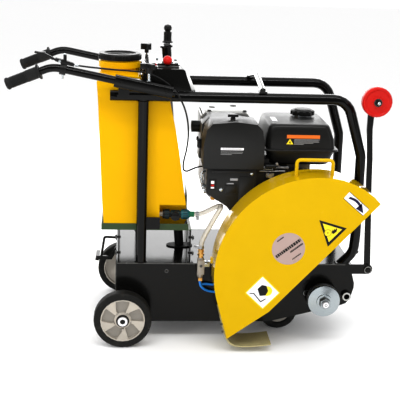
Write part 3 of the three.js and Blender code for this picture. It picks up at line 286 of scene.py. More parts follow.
BLACK = (0.0045, 0.0045, 0.004)
# Edge colours lighter than their paint: worn edges that also carry a painted highlight.
BLACK_EDGE = (0.05, 0.05, 0.046)
YELLOW = (0.61, 0.39, 0.001)
YELLOW_EDGE = (0.72, 0.5, 0.03)
TANK_YELLOW = (0.73, 0.41, 0.0005)
PRINT = dict(spread=0.05, peel=0.03)
LOOKS = {
    "black_paint": (BLACK, 0.18, dict(specular=0.22, edge=BLACK_EDGE)),
    "tube_paint": ((0.0022, 0.0022, 0.002), 0.15, dict(specular=0.24, edge=BLACK_EDGE, peel=0.06)),
    "black_sheet": (BLACK, 0.14, dict(specular=0.3, peel=0.08, grime=0.04)),
    "yellow_paint": (YELLOW, 0.24, dict(specular=0.09, edge=YELLOW_EDGE, spread=0.04, peel=0.06)),
    "yellow_band": (YELLOW, 0.12, dict(edge=YELLOW_EDGE, spread=0.04, peel=0.05, coat=0.5,
                                       rough_spread=0.04)),
    "yellow_pe": (TANK_YELLOW, 0.4, dict(specular=0.07, subsurface=0.12, spread=0.05, scale=9, peel=0.2)),
    "yellow_top": (TANK_YELLOW, 0.12, dict(spread=0.05, scale=9, rough_spread=0.03)),
    # A lighter grey that paints a highlight along the deck's edges and round the side screws.
    "painted_highlight_grey": ((0.12, 0.12, 0.115), 0.25, dict(metallic=0.5, spread=0.2, scale=40)),
    "muffler_metal": ((0.34, 0.34, 0.325), 0.36, dict(metallic=0.75, spread=0.1)),
    "bar_zinc": ((0.5, 0.5, 0.49), 0.25, dict(metallic=0.9, spread=0.08)),
    # A darker copy of the bar's zinc for faces by their facing: painted shade.
    "bar_painted_shade": ((0.16, 0.16, 0.155), 0.3, dict(metallic=0.9, spread=0.08)),
    "green_paint": ((0.03, 0.06, 0.02), 0.35, dict(specular=0.3, edge=(0.16, 0.2, 0.12))),
    "zinc": ((0.6, 0.64, 0.66), 0.22, dict(metallic=0.95, scale=22, peel=0.05)),
    "steel": ((0.36, 0.36, 0.37), 0.34, dict(metallic=0.95, spread=0.25, scale=60, rough_spread=0.12)),
    "cast_rim": ((0.52, 0.48, 0.42), 0.4, dict(metallic=0.7, peel=0.35, peel_scale=900,
                                               edge=(0.9, 0.87, 0.83))),
    "rim_pocket": ((0.3, 0.28, 0.25), 0.55, dict(metallic=0.6, spread=0.15, peel=0.4, peel_scale=900)),
    "rubber": ((0.012, 0.012, 0.012), 0.6, dict(peel=0.3, peel_scale=1100, specular=0.25)),
    "tyre": ((0.013, 0.013, 0.012), 0.6, dict(peel=0.35, peel_scale=700, grime=0.08, specular=0.15)),
    "plastic": ((0.007, 0.007, 0.0066), 0.34, dict(peel=0.25, peel_scale=900, specular=0.26)),
    "engine_shell": ((0.009, 0.009, 0.0084), 0.33, dict(peel=0.15, specular=0.34, edge=(0.05, 0.05, 0.05))),
    "red": ((0.5, 0.01, 0.006), 0.28, dict(specular=0.2, spread=0.08, peel=0.08)),
    "red_dark": ((0.3, 0.006, 0.008), 0.3, dict(specular=0.35, spread=0.1)),
    "blue": ((0.01, 0.21, 0.72), 0.28, dict(spread=0.1, specular=0.4)),
    "clear": ((0.8, 0.76, 0.68), 0.18, dict(transmission=0.5, spread=0.06)),
    "teal": ((0.012, 0.12, 0.14), 0.34, dict(spread=0.2, specular=0.4)),
    "teal_dark": ((0.008, 0.03, 0.035), 0.3, dict(spread=0.3, specular=0.4)),
    "green_ring": ((0.01, 0.16, 0.07), 0.34, dict(spread=0.2)),
    "flap": ((0.4, 0.35, 0.18), 0.45, dict(spread=0.25, scale=30, peel=0.4, peel_scale=800, grime=0.3)),
    "silver": ((0.5, 0.5, 0.48), 0.3, dict(metallic=0.6, spread=0.08)),
    "aluminium": ((0.3, 0.3, 0.3), 0.42, dict(metallic=0.85, spread=0.25, peel=0.4, peel_scale=800)),
    "flange_zinc": ((0.4, 0.44, 0.46), 0.2, dict(metallic=0.95, spread=0.15, scale=14, rough_spread=0.06,
                                                 peel=0.04)),
    "brass": ((0.62, 0.36, 0.11), 0.28, dict(metallic=0.95, spread=0.15, scale=50)),
    "tap_grey": ((0.33, 0.3, 0.26), 0.36, dict(metallic=0.6, spread=0.25, scale=60)),
    "dark_zinc": ((0.09, 0.09, 0.088), 0.36, dict(metallic=0.8, spread=0.25, scale=60)),
    "decal_white": ((0.83, 0.82, 0.84), 0.35, dict(spread=0.03, peel=0.03)),
    "decal_yellow": ((0.84, 0.66, 0.02), 0.35, dict(spread=0.03, peel=0.03, specular=0.3)),
    "decal_black": ((0.005, 0.005, 0.005), 0.38, dict(spread=0.1, peel=0.03, specular=0.25)),
    "decal_navy": ((0.012, 0.01, 0.045), 0.38, dict(spread=0.1, peel=0.03, specular=0.25)),
    "decal_grey": ((0.41, 0.3, 0.27), 0.3, PRINT),
    "decal_orange": ((0.72, 0.16, 0.01), 0.35, PRINT),
    "decal_line": ((0.32, 0.32, 0.32), 0.4, PRINT),
    "amber": ((0.5, 0.23, 0.01), 0.25, dict(spread=0.1)),
    # Near black for holes and slots drawn as flat pieces: painted shade where the opening is.
    "painted_hole_shade": ((0.004, 0.004, 0.004), 0.8, dict(spread=0.2)),
}


# ---- mesh helpers
def finish_mesh(name, bm, material, body, sharp=35, zones=()):
    """A bmesh in design millimetres becomes a shown piece that rides on a body. Each zone gives the faces
    whose middle passes its test another material."""
    bmesh.ops.recalc_face_normals(bm, faces=bm.faces)
    for number, (_, test) in enumerate(zones, 1):
        for face in bm.faces:
            if test(face.calc_center_median(), face.normal):
                face.material_index = number
    limit = math.radians(sharp)
    for face in bm.faces:
        face.smooth = True
    for e in bm.edges:
        e.smooth = len(e.link_faces) == 2 and e.calc_face_angle(3.0) < limit
    for v in bm.verts:
        v.co = place(v.co)
    mesh = bpy.data.meshes.new(name)
    bm.to_mesh(mesh)
    bm.free()
    for kind in [material] + [zone[0] for zone in zones]:
        mesh.materials.append(MATERIALS[kind])
    piece = bpy.data.objects.new(name, mesh)
    bpy.context.collection.objects.link(piece)
    if body:
        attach(piece, body)
    return piece


@contextmanager
def new_piece(name, material, body, sharp=35):
    """The bmesh to fill inside a with block; it becomes a shown piece when the block ends."""
    bm = bmesh.new()
    yield bm
    finish_mesh(name, bm, material, body, sharp)


def round_edges(bm, width, segments=3, angle=30):
    edges = [e for e in bm.edges if len(e.link_faces) == 2 and e.calc_face_angle(0) > math.radians(angle)]
    if edges:
        bmesh.ops.bevel(bm, geom=edges, offset=width, offset_type="OFFSET", segments=segments, profile=0.5,
                        affect="EDGES", clamp_overlap=True)


def add_box(bm, x0, x1, y0, y1, z0, z1, turn=None):
    made = bmesh.ops.create_cube(bm, size=1)["verts"]
    middle = Vector(((x0 + x1) / 2, (y0 + y1) / 2, (z0 + z1) / 2))
    for v in made:
        v.co = Vector((v.co.x * (x1 - x0), v.co.y * (y1 - y0), v.co.z * (z1 - z0)))
        if turn is not None:
            v.co = turn @ v.co
        v.co += middle
    return made


def axis_turn(direction):
    return Vector(direction).normalized().to_track_quat("Z", "Y").to_matrix()


def add_lathe(bm, profile, origin, direction, segments=48):
    """Revolves (radius, height) pairs about a direction; one that starts and ends on the axis is closed."""
    turn = axis_turn(direction)
    rings = []
    for r, h in profile:
        if r < 1e-6:
            rings.append([bm.verts.new(Vector(origin) + turn @ Vector((0, 0, h)))])
            continue
        ring = []
        for k in range(segments):
            a = ROUND * k / segments
            ring.append(bm.verts.new(Vector(origin) + turn @ Vector((r * math.cos(a), r * math.sin(a), h))))
        rings.append(ring)
    for a, b in zip(rings, rings[1:]):
        for k in range(segments):
            n = (k + 1) % segments
            corners = [a[k % len(a)], a[n % len(a)], b[n % len(b)], b[k % len(b)]]
            unique = list(dict.fromkeys(corners))
            if len(unique) > 2:
                bm.faces.new(unique)
    return rings


def add_ring(bm, profile, origin, direction, segments=48):
    """A closed ring: the last profile point joins the first."""
    add_lathe(bm, list(profile) + [profile[0]], origin, direction, segments)
    bmesh.ops.remove_doubles(bm, verts=bm.verts, dist=1e-4)


def add_tube(bm, points, radius, sides=16, caps=True):
    points = [Vector(p) for p in points]
    count = len(points)
    tangents = []
    for i in range(count):
        a, b = points[max(i - 1, 0)], points[min(i + 1, count - 1)]
        tangents.append((b - a).normalized())
    side = tangents[0].orthogonal().normalized()
    rings = []
    for i in range(count):
        side = (side - tangents[i] * side.dot(tangents[i])).normalized()
        over = tangents[i].cross(side)
        r = radius[i] if isinstance(radius, (list, tuple)) else radius
        angles = [ROUND * k / sides for k in range(sides)]
        rings.append([bm.verts.new(points[i] + r * (side * math.cos(a) + over * math.sin(a)))
                      for a in angles])
    for a, b in zip(rings, rings[1:]):
        for k in range(sides):
            n = (k + 1) % sides
            bm.faces.new((a[k], a[n], b[n], b[k]))
    if caps:
        bm.faces.new(list(reversed(rings[0])))
        bm.faces.new(rings[-1])
    return rings


def add_prism(bm, outline, y0, y1):
    """An XZ outline from y0 to y1."""
    near = [bm.verts.new((x, y0, z)) for x, z in outline]
    far = [bm.verts.new((x, y1, z)) for x, z in outline]
    bm.faces.new(near)
    bm.faces.new(list(reversed(far)))
    count = len(outline)
    for k in range(count):
        n = (k + 1) % count
        bm.faces.new((near[k], far[k], far[n], near[n]))


def bent(corners, radius, steps=10):
    """Corner points with each inner corner rounded."""
    p = [Vector(c) for c in corners]
    out = [p[0]]
    for i in range(1, len(p) - 1):
        to, away = (p[i - 1] - p[i]).normalized(), (p[i + 1] - p[i]).normalized()
        half = to.angle(away) / 2
        reach = radius / math.tan(half)
        middle = (to + away).normalized()
        centre = p[i] + middle * (radius / math.sin(half))
        start = p[i] + to * reach - centre
        axis = start.cross(-middle).normalized()
        for k in range(steps + 1):
            out.append(Matrix.Rotation((math.pi - 2 * half) * k / steps, 3, axis) @ start + centre)
    out.append(p[-1])
    return out


def smooth_path(points, steps):
    """A centripetal Catmull-Rom path through the points, at even steps."""
    p = [Vector(q) for q in points]
    p = [p[0] * 2 - p[1]] + p + [p[-1] * 2 - p[-2]]
    dense = []
    for i in range(1, len(p) - 2):
        t = [0.0]
        for k in range(3):
            t.append(t[-1] + (p[i + k] - p[i + k - 1]).length ** 0.5)
        for s in range(24):
            u = t[1] + (t[2] - t[1]) * s / 24
            a = [((t[k + 1] - u) * p[i + k - 1] + (u - t[k]) * p[i + k]) / (t[k + 1] - t[k])
                 for k in range(3)]
            b = [((t[k + 2] - u) * a[k] + (u - t[k]) * a[k + 1]) / (t[k + 2] - t[k])
                 for k in range(2)]
            dense.append(((t[2] - u) * b[0] + (u - t[1]) * b[1]) / (t[2] - t[1]))
    dense.append(p[-2])
    lengths = [0.0]
    for a, b in zip(dense, dense[1:]):
        lengths.append(lengths[-1] + (b - a).length)
    out, j = [], 0
    for s in range(steps + 1):
        want = lengths[-1] * s / steps
        while j < len(lengths) - 2 and lengths[j + 1] < want:
            j += 1
        part = (want - lengths[j]) / max(1e-9, lengths[j + 1] - lengths[j])
        out.append(dense[j].lerp(dense[j + 1], min(1, part)))
    return out


def add_loft(bm, rings):
    made = [[bm.verts.new(p) for p in ring] for ring in rings]
    count = len(made[0])
    for low, high in zip(made, made[1:]):
        for k in range(count):
            n = (k + 1) % count
            bm.faces.new((low[k], low[n], high[n], high[k]))
    bm.faces.new(list(reversed(made[0])))
    bm.faces.new(made[-1])


def turned(name, material, body, profile, at, direction, segments):
    """A piece that is one turned shape."""
    with new_piece(name, material, body) as bm:
        add_lathe(bm, profile, at, direction, segments)


def boxes(name, material, items, ease, steps):
    """A piece on the frame made of boxes with eased edges."""
    with new_piece(name, material, "frame") as bm:
        for item in items:
            add_box(bm, *item)
        round_edges(bm, ease, steps)


def rod(r, h):
    """The profile of a plain disc or bar."""
    return [(0, 0), (r, 0), (r, h), (0, h)]


def refined(node, material, bevel=0.0, segments=2, zones=(), rounds=()):
    """The CAD node's own shape with its flat faces merged, its edges eased and its curves shaded smooth. Each
    entry of rounds is a test for edges (middle, direction, length), a width and a segment count."""
    bm = bmesh.new()
    bm.from_mesh(frame["nodes"][node].data)
    for v in bm.verts:
        v.co = (v.co - ORIGIN) * 1000
    bmesh.ops.remove_doubles(bm, verts=bm.verts, dist=0.01)
    bmesh.ops.dissolve_limit(bm, angle_limit=math.radians(0.6), verts=bm.verts, edges=bm.edges)
    for test, width, steps in rounds:
        chosen = []
        for e in bm.edges:
            a, b = e.verts[0].co, e.verts[1].co
            folded = len(e.link_faces) == 2 and e.calc_face_angle(0) > 0.5
            if folded and test((a + b) / 2, (b - a).normalized(), (b - a).length):
                chosen.append(e)
        bmesh.ops.bevel(bm, geom=chosen, offset=width, offset_type="OFFSET", segments=steps, profile=0.5,
                        affect="EDGES", clamp_overlap=True)
    if bevel:
        round_edges(bm, bevel, segments, 32)
    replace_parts(finish_mesh("shape_" + node, bm, material, BODY_OF[node], zones=zones), node)


def add_hex_bolt(bm, at, direction, r, h):
    foot = 1.2
    add_lathe(bm, rod(r * 1.45, foot), at, direction, 20)
    profile = [(0, foot), (r, foot), (r, foot + h * 0.8), (r * 0.86, foot + h), (0, foot + h)]
    add_lathe(bm, profile, at, direction, 6)


def add_round_bolt(bm, at, direction, r, h):
    """A domed head with a socket."""
    profile = [(0, 0), (r, 0), (r, h * 0.5), (r * 0.8, h * 0.9), (r * 0.45, h), (r * 0.42, h * 0.45),
               (0, h * 0.45)]
    add_lathe(bm, profile, at, direction, 16)


def bolts(name, items, material, body, round_head=False):
    add = add_round_bolt if round_head else add_hex_bolt
    with new_piece(name, material, body, 30) as bm:
        for item in items:
            add(bm, *item)


def washers(name, items, material, body):
    """Flat rings: centre, direction, inner radius, outer radius, thickness."""
    with new_piece(name, material, body, 30) as bm:
        for at, direction, inner, outer, thick in items:
            profile = [(inner, 0), (outer, 0), (outer, thick * 0.7), (outer - 0.3, thick), (inner, thick),
                       (inner, 0)]
            add_lathe(bm, profile, at, direction, 32)
        bmesh.ops.remove_doubles(bm, verts=bm.verts, dist=1e-4)


def both_sides(x, y, z, *size):
    """The same fastener on the right and on the left, each facing outward."""
    return [((x, side * y, z), (0, side, 0), *size) for side, _ in SIDES]


def weld_bead(name, centre, radius, thick):
    """A rippled fillet weld round an upright tube's end."""
    turn = axis_turn(UP)
    count = int(ROUND * radius / 2)
    points, radii = [], []
    for k in range(count + 1):
        a = ROUND * k / count
        points.append(Vector(centre) + turn @ Vector((radius * math.cos(a), radius * math.sin(a), 0)))
        radii.append(thick * (1 + 0.16 * math.sin(k * 2.1)))
    with new_piece(name, "black_paint", "frame", 80) as bm:
        add_tube(bm, points, radii, 8, caps=False)


def patch(name, corners, thick, material, body):
    """A thin sticker through three or more corners, lying on its surface."""
    points = [Vector(c) for c in corners]
    normal = (points[1] - points[0]).cross(points[2] - points[1]).normalized()
    with new_piece(name, material, body, 30) as bm:
        low = [bm.verts.new(p) for p in points]
        high = [bm.verts.new(p + normal * thick) for p in points]
        bm.faces.new(list(reversed(low)))
        bm.faces.new(high)
        for k in range(len(points)):
            n = (k + 1) % len(points)
            bm.faces.new((low[k], low[n], high[n], high[k]))


def label(name, x0, x1, y, z0, z1, thick, material, body="frame"):
    """A rectangular sticker on a face that looks to the machine's right."""
    patch(name, [(x0, y, z0), (x1, y, z0), (x1, y, z1), (x0, y, z1)], thick, material, body)


# ---- hoses and cable
CABLE_ROUTE = [
    (-146.5, -205, 872.5), (-132, -204.5, 870.5), (-112, -203, 868), (-75, -198, 864), (-30, -191, 859.5),
    (20, -186, 856), (60, -184, 851.5), (95, -183.5, 839), (125, -183.5, 821), (148, -183.5, 800),
    (165, -184, 775), (180, -182, 742), (190, -174, 700), (193, -158, 655), (190, -140, 610),
    (184, -124, 572), (183, -112, 549), (187, -101, 535), (196, -96, 531), (210, -96, 537),
    (228, -98, 545), (248, -99, 549), (271.4, -99, 549)]
CLEAR_ROUTE = [
    (221.8, -120, 397), (231, -120, 397), (250, -121, 402), (272, -127, 415), (290, -138, 428),
    (301, -153, 435), (301, -168, 434.5), (293, -181, 425), (280, -190, 406), (267, -195, 383),
    (253, -196, 356), (243, -196, 330), (241, -196, 316), (241, -196, 308.6)]
BLUE_ROUTES = {
    "blue_hose_upper": [
        (241, -191, 203.3), (241, -191, 194), (246, -190, 188.5), (262, -186, 187), (290, -182.6, 183),
        (340, -182.6, 182), (400, -182.6, 188), (460, -182.6, 203), (510, -182.6, 220), (540, -182.6, 228.5),
        (555.6, -182.6, 229)],
    "blue_hose_lower": [
        (241, -200.5, 203.5), (241, -200.5, 194), (246, -198, 182), (257, -193, 171), (273, -187, 163),
        (296, -183, 159), (340, -182.6, 160), (400, -182.6, 168), (440, -182.6, 180), (490, -182.6, 197),
        (540, -182.6, 212.5), (555.6, -182.6, 213)],
}


def make_cord(name, route, radius, material, node, steps, stretch=None):
    path = smooth_path(route, steps)
    bm = bmesh.new()
    add_tube(bm, path, radius, 14)
    piece = finish_mesh(name, bm, material, None if stretch else BODY_OF[node], 60)
    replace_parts(piece, node)
    if stretch:
        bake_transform(piece)


def make_cords():
    make_cord("clear_water_hose", CLEAR_ROUTE, 7.5, "clear", "clear_hose", 60)
    for node, route in BLUE_ROUTES.items():
        make_cord(node + "_line", route, 3.7, "blue", node, 70)
    make_cord("throttle_cable_sheath", CABLE_ROUTE, 2.6, "rubber", "throttle_cable", 110,
              ("handle_right", (-30, -190, 857), (-140, -205, 871)))


# ---- CAD nodes with their looks
ALONG_SLEEVE = Vector((170.5, 0, -32)).normalized()
EASED_EDGES = {
    "tube_paint": dict(front_swing_frame=0, pointer_arm=0, handlebar_right=0, handlebar_left=0),
    "steel": dict(rear_axle=0.5, depth_screw=0, blade_shaft=0.5, blade_pulley=0.5, engine_pulley=0.5),
    "black_paint": dict(brake_pedal=0, crank_arm=1.2, belt_guard=1.5),
    "aluminium": dict(bearing_right=1, bearing_left=1, engine_block=0),
    "yellow_paint": dict(guard_handle=0),
    "engine_shell": dict(fan_shroud=4, air_cleaner=7),
    "plastic": dict(wing_knob_right=3, wing_knob_left=2.5, lever_bracket=0.8, hand_lever=1.2, tank_lid=1.2,
                    tank_valve_knob=1.5, crank_grip=1, recoil_grip=2, fuel_cap=1.5, air_cleaner_nut=1.2,
                    engine_switch=1),
    "rubber": dict(grip_right=1.2, grip_left=1.2, drive_belt=0.6),
    "tyre": dict(rear_tyre_right=1.5, rear_tyre_left=1.5),
    "flap": dict(splash_flap=0),
}


def sleeve_edge(middle, direction, length):
    return abs(direction.dot(ALONG_SLEEVE)) > 0.999 and length > 80 and abs(middle.y) > 185.5


def tank_side_edge(middle, direction, length):
    return abs(middle.y) > 139 and (middle.z < 790 or middle.z > 826) and middle.z > 352


def tank_shoulder_edge(middle, direction, length):
    return abs(direction.y) > 0.99 and length > 100


def column_foot(m, n):
    return m.z > DECK_TOP + 0.5 and math.hypot(m.x - SCREW_FOOT_X, m.y) < 46


def rim_pocket(m, n):
    return abs(n.y) > 0.7 and 27 < from_axis(m, 0, REAR_HUB_Z) < 64 and abs(m.y) < 250


def guard_band(m, n):
    outward = Vector((m.x - GUARD_X, 0, m.z - GUARD_Z))
    return abs(n.y) < 0.5 and n.dot(outward) > 100


def guard_back(m, n):
    return m.y > -194.5 and from_axis(m, GUARD_X, GUARD_Z) < 306.5


def muffler_outlet(m, n):
    return m.x < 240 or (math.hypot(m.y - 30, m.z - 650) < 20 and m.x < 250)


def make_plain_nodes():
    """The nodes of one material, each with the width its edges are eased by."""
    for material, nodes in EASED_EDGES.items():
        for node, bevel in nodes.items():
            refined(node, material, bevel, segments=3)


def make_frame_nodes():
    refined("chassis", "black_paint", zones=[
        ("black_sheet", lambda m, n: n.z > 0.8), ("rubber", column_foot)])
    refined("control_panel", "black_paint", 2.5, 3, zones=[
        ("black_sheet", lambda m, n: n.z > 0.9 and 858 < m.z < 862), ("rubber", lambda m, n: m.z > 862)])
    for side in ("right", "left"):
        refined("side_frame_" + side, "tube_paint", rounds=[(sleeve_edge, 9, 5)])
        refined("front_wheel_" + side, "tyre", 1, zones=[
            ("rim_pocket", lambda m, n: from_axis(m, FRONT_HUB_X, FRONT_HUB_Z) < 38)])
        refined("rear_rim_" + side, "cast_rim", 1, zones=[("rim_pocket", rim_pocket)])
    refined("throttle_lever", "red", 0.4, zones=[("plastic", lambda m, n: m.z < 871)])
    refined("stop_button", "red", 1.5, 3, zones=[("red_dark", lambda m, n: m.z > 866)])
    # The bar's faces that don't look fore or aft, above z 797, get a darker zinc: painted shade.
    refined("lifting_bar", "bar_zinc", zones=[
        ("bar_painted_shade", lambda m, n: abs(n.x) < 0.42 and m.z > 797), ("black_paint", lambda m, n: m.z < 798)])


def make_body_nodes():
    refined("water_tank", "yellow_pe", rounds=[(tank_shoulder_edge, 9, 4), (tank_side_edge, 8, 4)],
            zones=[("yellow_top", lambda m, n: n.z > 0.75 and m.z > 780)])
    refined("tank_tray", "green_paint", 0, zones=[("black_paint", lambda m, n: m.z < 349)])
    refined("blade_guard", "yellow_paint", zones=[("yellow_band", guard_band), ("black_paint", guard_back)])
    refined("muffler", "muffler_metal", 4, 3, zones=[("plastic", muffler_outlet)])
    refined("tank_valve", "teal", 0.8, zones=[
        ("silver", lambda m, n: m.x < 122), ("plastic", lambda m, n: 122 < m.x < 146),
        ("teal_dark", lambda m, n: 146 < m.x < 179.5), ("green_ring", lambda m, n: m.x > 205)])
    refined("tap_body", "tap_grey", 0.6, zones=[
        ("brass", lambda m, n: m.z < 215), ("zinc", lambda m, n: m.x > 248),
        ("brass", lambda m, n: 281 < m.z < 296), ("zinc", lambda m, n: m.z > 296)])
    refined("tap_lever", "tap_grey", 1.5)
    refined("pointer_wheel", "red", 1.2, 3)
    refined("outer_flange", "flange_zinc", 0.8, zones=[
        ("dark_zinc", lambda m, n: m.y < -236.2 and from_axis(m, SHAFT_X, SHAFT_Z) > 14)])


def rounded_ring(x0, x1, y0, y1, z, radius):
    """A rounded rectangle at one height, counterclockwise from above."""
    steps = 7
    ring = []
    corners = ((x1 - radius, y1 - radius, 0), (x0 + radius, y1 - radius, 90), (x0 + radius, y0 + radius, 180),
               (x1 - radius, y0 + radius, 270))
    for cx, cy, first in corners:
        for k in range(steps + 1):
            a = math.radians(first + 90 * k / steps)
            ring.append((cx + radius * math.cos(a), cy + radius * math.sin(a), z))
    return ring


def make_fuel_tank():
    """Two pressed halves joined at a rolled seam flange: height, x and y extents, corner radius."""
    levels = [
        (568, 456, 629, -135, 47, 20), (571, 449, 636, -142, 54, 22), (578, 446, 640, -146, 58, 22),
        (614, 435, 651, -159, 71, 22), (615.2, 430, 657, -164, 76, 22), (615.8, 426, 661, -167.5, 79.5, 22),
        (617, 425.2, 661.8, -168, 80, 22), (619, 425.2, 661.8, -168, 80, 22),
        (620.4, 426.5, 660.5, -167, 79, 22), (621, 431, 656, -163, 75, 22),
        (622.5, 434.5, 651.5, -160, 72, 22), (652, 435, 647.5, -158.2, 70, 20),
        (680, 441, 637, -154, 65.5, 19), (689, 443.5, 633, -151.5, 63.5, 19),
        (692.5, 446, 630.5, -149.5, 61.5, 18), (695.2, 449.5, 627, -146, 58, 17),
        (696.6, 454, 622.5, -142, 54, 15), (697.1, 460, 616, -136, 48, 12)]
    bm = bmesh.new()
    add_loft(bm, [rounded_ring(x0, x1, y0, y1, z, r) for z, x0, x1, y0, y1, r in levels])
    add_lathe(bm, [(0, 0), (27, 0), (27, 3.2), (26, 4), (0, 4)], (FILLER_X, 0, FILLER_Z), UP, 32)
    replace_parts(finish_mesh("shape_fuel_tank", bm, "engine_shell", "frame", 40), "fuel_tank")


# ---- stickers on the guard
def decal(name, points, layer, thick, material):
    """A flat sticker on the guard's outer face; layer is how far it stands off the face."""
    y = GUARD_FACE - layer
    with new_piece(name, material, "guard", 30) as bm:
        add_prism(bm, points, y - thick, y)


def circle(x, z, r, count=48, start=0.0, sweep=ROUND):
    steps = count if sweep == ROUND else count - 1
    angles = [start + sweep * k / steps for k in range(count)]
    return [(x + r * math.cos(a), z + r * math.sin(a)) for a in angles]


def inset_box(points, amount):
    """A four-cornered outline with its two long sides moved in."""
    (a, b, c, d) = [Vector(p) for p in points]
    step = (d - a).normalized() * amount
    return [tuple(v) for v in (a + step, b + step, c - step, d - step)]


def inset(points, amount):
    """An outline with each corner moved towards the middle."""
    cx = sum(p[0] for p in points) / len(points)
    cz = sum(p[1] for p in points) / len(points)
    out = []
    for x, z in points:
        d = math.hypot(x - cx, z - cz)
        out.append((cx + (x - cx) * (1 - amount / d), cz + (z - cz) * (1 - amount / d)))
    return out


def make_direction_sticker():
    strip = [(672, 526), (736, 472), (717.5, 451), (655, 504)]
    decal("sticker_direction_border", strip, 0, 0.2, "decal_navy")
    decal("sticker_direction", inset_box(strip, 1.6), 0.2, 0.15, "decal_white")
    along = Vector((64, -54)).normalized()
    across = Vector((along.y, -along.x))
    middle = Vector((695.5, 488.5))

    def on_strip(a, b):
        p = middle + along * a + across * b
        return (p.x, p.y)

    def bow_edge(base, order):
        return [on_strip(-30 + 4 * k, base - 7 * math.sin(math.pi * k / 13)) for k in order]

    bow = bow_edge(-3, range(13)) + bow_edge(5, range(12, -1, -1))
    decal("sticker_direction_bow", bow, 0.35, 0.15, "decal_navy")
    head = [on_strip(12, -12), on_strip(37, 8), on_strip(9, 12)]
    decal("sticker_direction_head", head, 0.35, 0.15, "decal_navy")


def make_triangle_sticker():
    triangle = [(586, 436), (672, 411), (618, 352)]
    disc = (615, 396)
    decal("sticker_triangle_border", triangle, 0, 0.2, "decal_black")
    decal("sticker_triangle", inset(triangle, 15), 0.2, 0.15, "decal_yellow")
    decal("sticker_triangle_disc", circle(*disc, 11, 32), 0.35, 0.15, "decal_black")
    decal("sticker_triangle_dot", circle(*disc, 10, 32), 0.5, 0.15, "decal_yellow")
    decal("sticker_triangle_pin", circle(*disc, 1.8, 16), 0.65, 0.15, "decal_black")
    teeth = [(627 + k * 2.6, 401 + (5 if k % 2 else 0) + k * 1.1) for k in range(7)]
    mark = teeth + [(641, 400), (633, 393), (627, 395)]
    decal("sticker_triangle_mark", mark, 0.35, 0.15, "decal_black")


def make_badge():
    decal("badge", circle(BADGE_X, BADGE_Z, 50.5, 72), 0, 0.3, "decal_grey")
    rows = [(-14, 10, 38, 4), (-45, 46, -3, 9.5), (-2, 46, -15, 5.5), (-10, 22, -37, 4)]
    for k, (start, end, base, tall) in enumerate(rows):
        badge_row(f"badge_row_{k}", start, end, base, tall, GUARD_FACE - 0.3)


def on_badge(u, v):
    return (BADGE_X + u * math.cos(BADGE_TILT) - v * math.sin(BADGE_TILT),
            BADGE_Z + u * math.sin(BADGE_TILT) + v * math.cos(BADGE_TILT))


def badge_row(name, start, end, base, tall, y):
    """A row of plain blocks, like a line of print seen from far away."""
    with new_piece(name, "decal_black", "guard", 30) as bm:
        at = start
        while at < end - 1:
            wide = min(end - at, tall * random.uniform(0.5, 0.8))
            corners = ((at, base), (at + wide, base), (at + wide, base + tall), (at, base + tall))
            add_prism(bm, [on_badge(u, v) for u, v in corners], y - 0.15, y)
            at += wide + tall * 0.16


def make_diamond_sticker():
    diamond = [(423.5, 257), (480.5, 201.5), (429, 147), (372, 201)]
    decal("sticker_diamond_border", diamond, 0, 0.2, "decal_yellow")
    decal("sticker_diamond", inset(diamond, 4), 0.2, 0.15, "decal_white")
    blade = []
    for k in range(40):
        r = 17 if k % 2 else 14.8
        a = ROUND * k / 40
        blade.append((440 + r * math.cos(a), 207 + r * math.sin(a)))
    decal("sticker_diamond_blade", blade, 0.35, 0.15, "decal_yellow")
    cover = [(410, 214), (423, 227), (437, 224), (443, 208), (436, 193), (418, 191)]
    decal("sticker_diamond_cover", cover, 0.5, 0.15, "decal_black")
    steps = [(386, 198), (398, 198), (421, 170), (437, 180), (436, 183), (421.5, 174.5), (399.5, 201),
             (386, 201)]
    decal("sticker_diamond_steps", steps, 0.35, 0.15, "decal_black")


# ---- frame, deck and pointer
def make_frame_details():
    sleeve_screws = both_sides(-12, 223, 826.5, 4.2, 2.6) + both_sides(121, 223, 801.5, 4.2, 2.6)
    bolts("frame_bolts", sleeve_screws + both_sides(136, SIDE_PLATE, 226, 4, 1.2), "black_paint", "frame",
          round_head=True)
    washers("boss_rings", both_sides(715, 191.1, 147, 9.2, 14, 0.8), "silver", "frame")
    # Lighter rings round the side screws: a painted highlight on each dimple's rim.
    washers("side_screw_highlight_rings", both_sides(136, 177.1, 226, 4.2, 6, 0.8), "painted_highlight_grey", "frame")
    washers("pointer_pivot_ring", [((POINTER_X, -184.1, POINTER_Z), RIGHT, 10.2, 11.2, 0.8)], "silver",
            "pointer")
    outer, inner = (circle(587, 154, r, 26, math.radians(50), math.radians(230)) for r in (10.5, 9))
    with new_piece("retaining_ring", "zinc", "frame") as bm:
        add_prism(bm, outer + inner[::-1], -178, -177)
    for side, _ in SIDES:
        weld_bead(f"weld_post_{side}", (POST_X, side * RAIL_Y, DECK_TOP + 0.8), 16.5, 2.2)
        weld_bead(f"weld_post_top_{side}", (POST_X, side * RAIL_Y, 763.5), 16.4, 1.8)


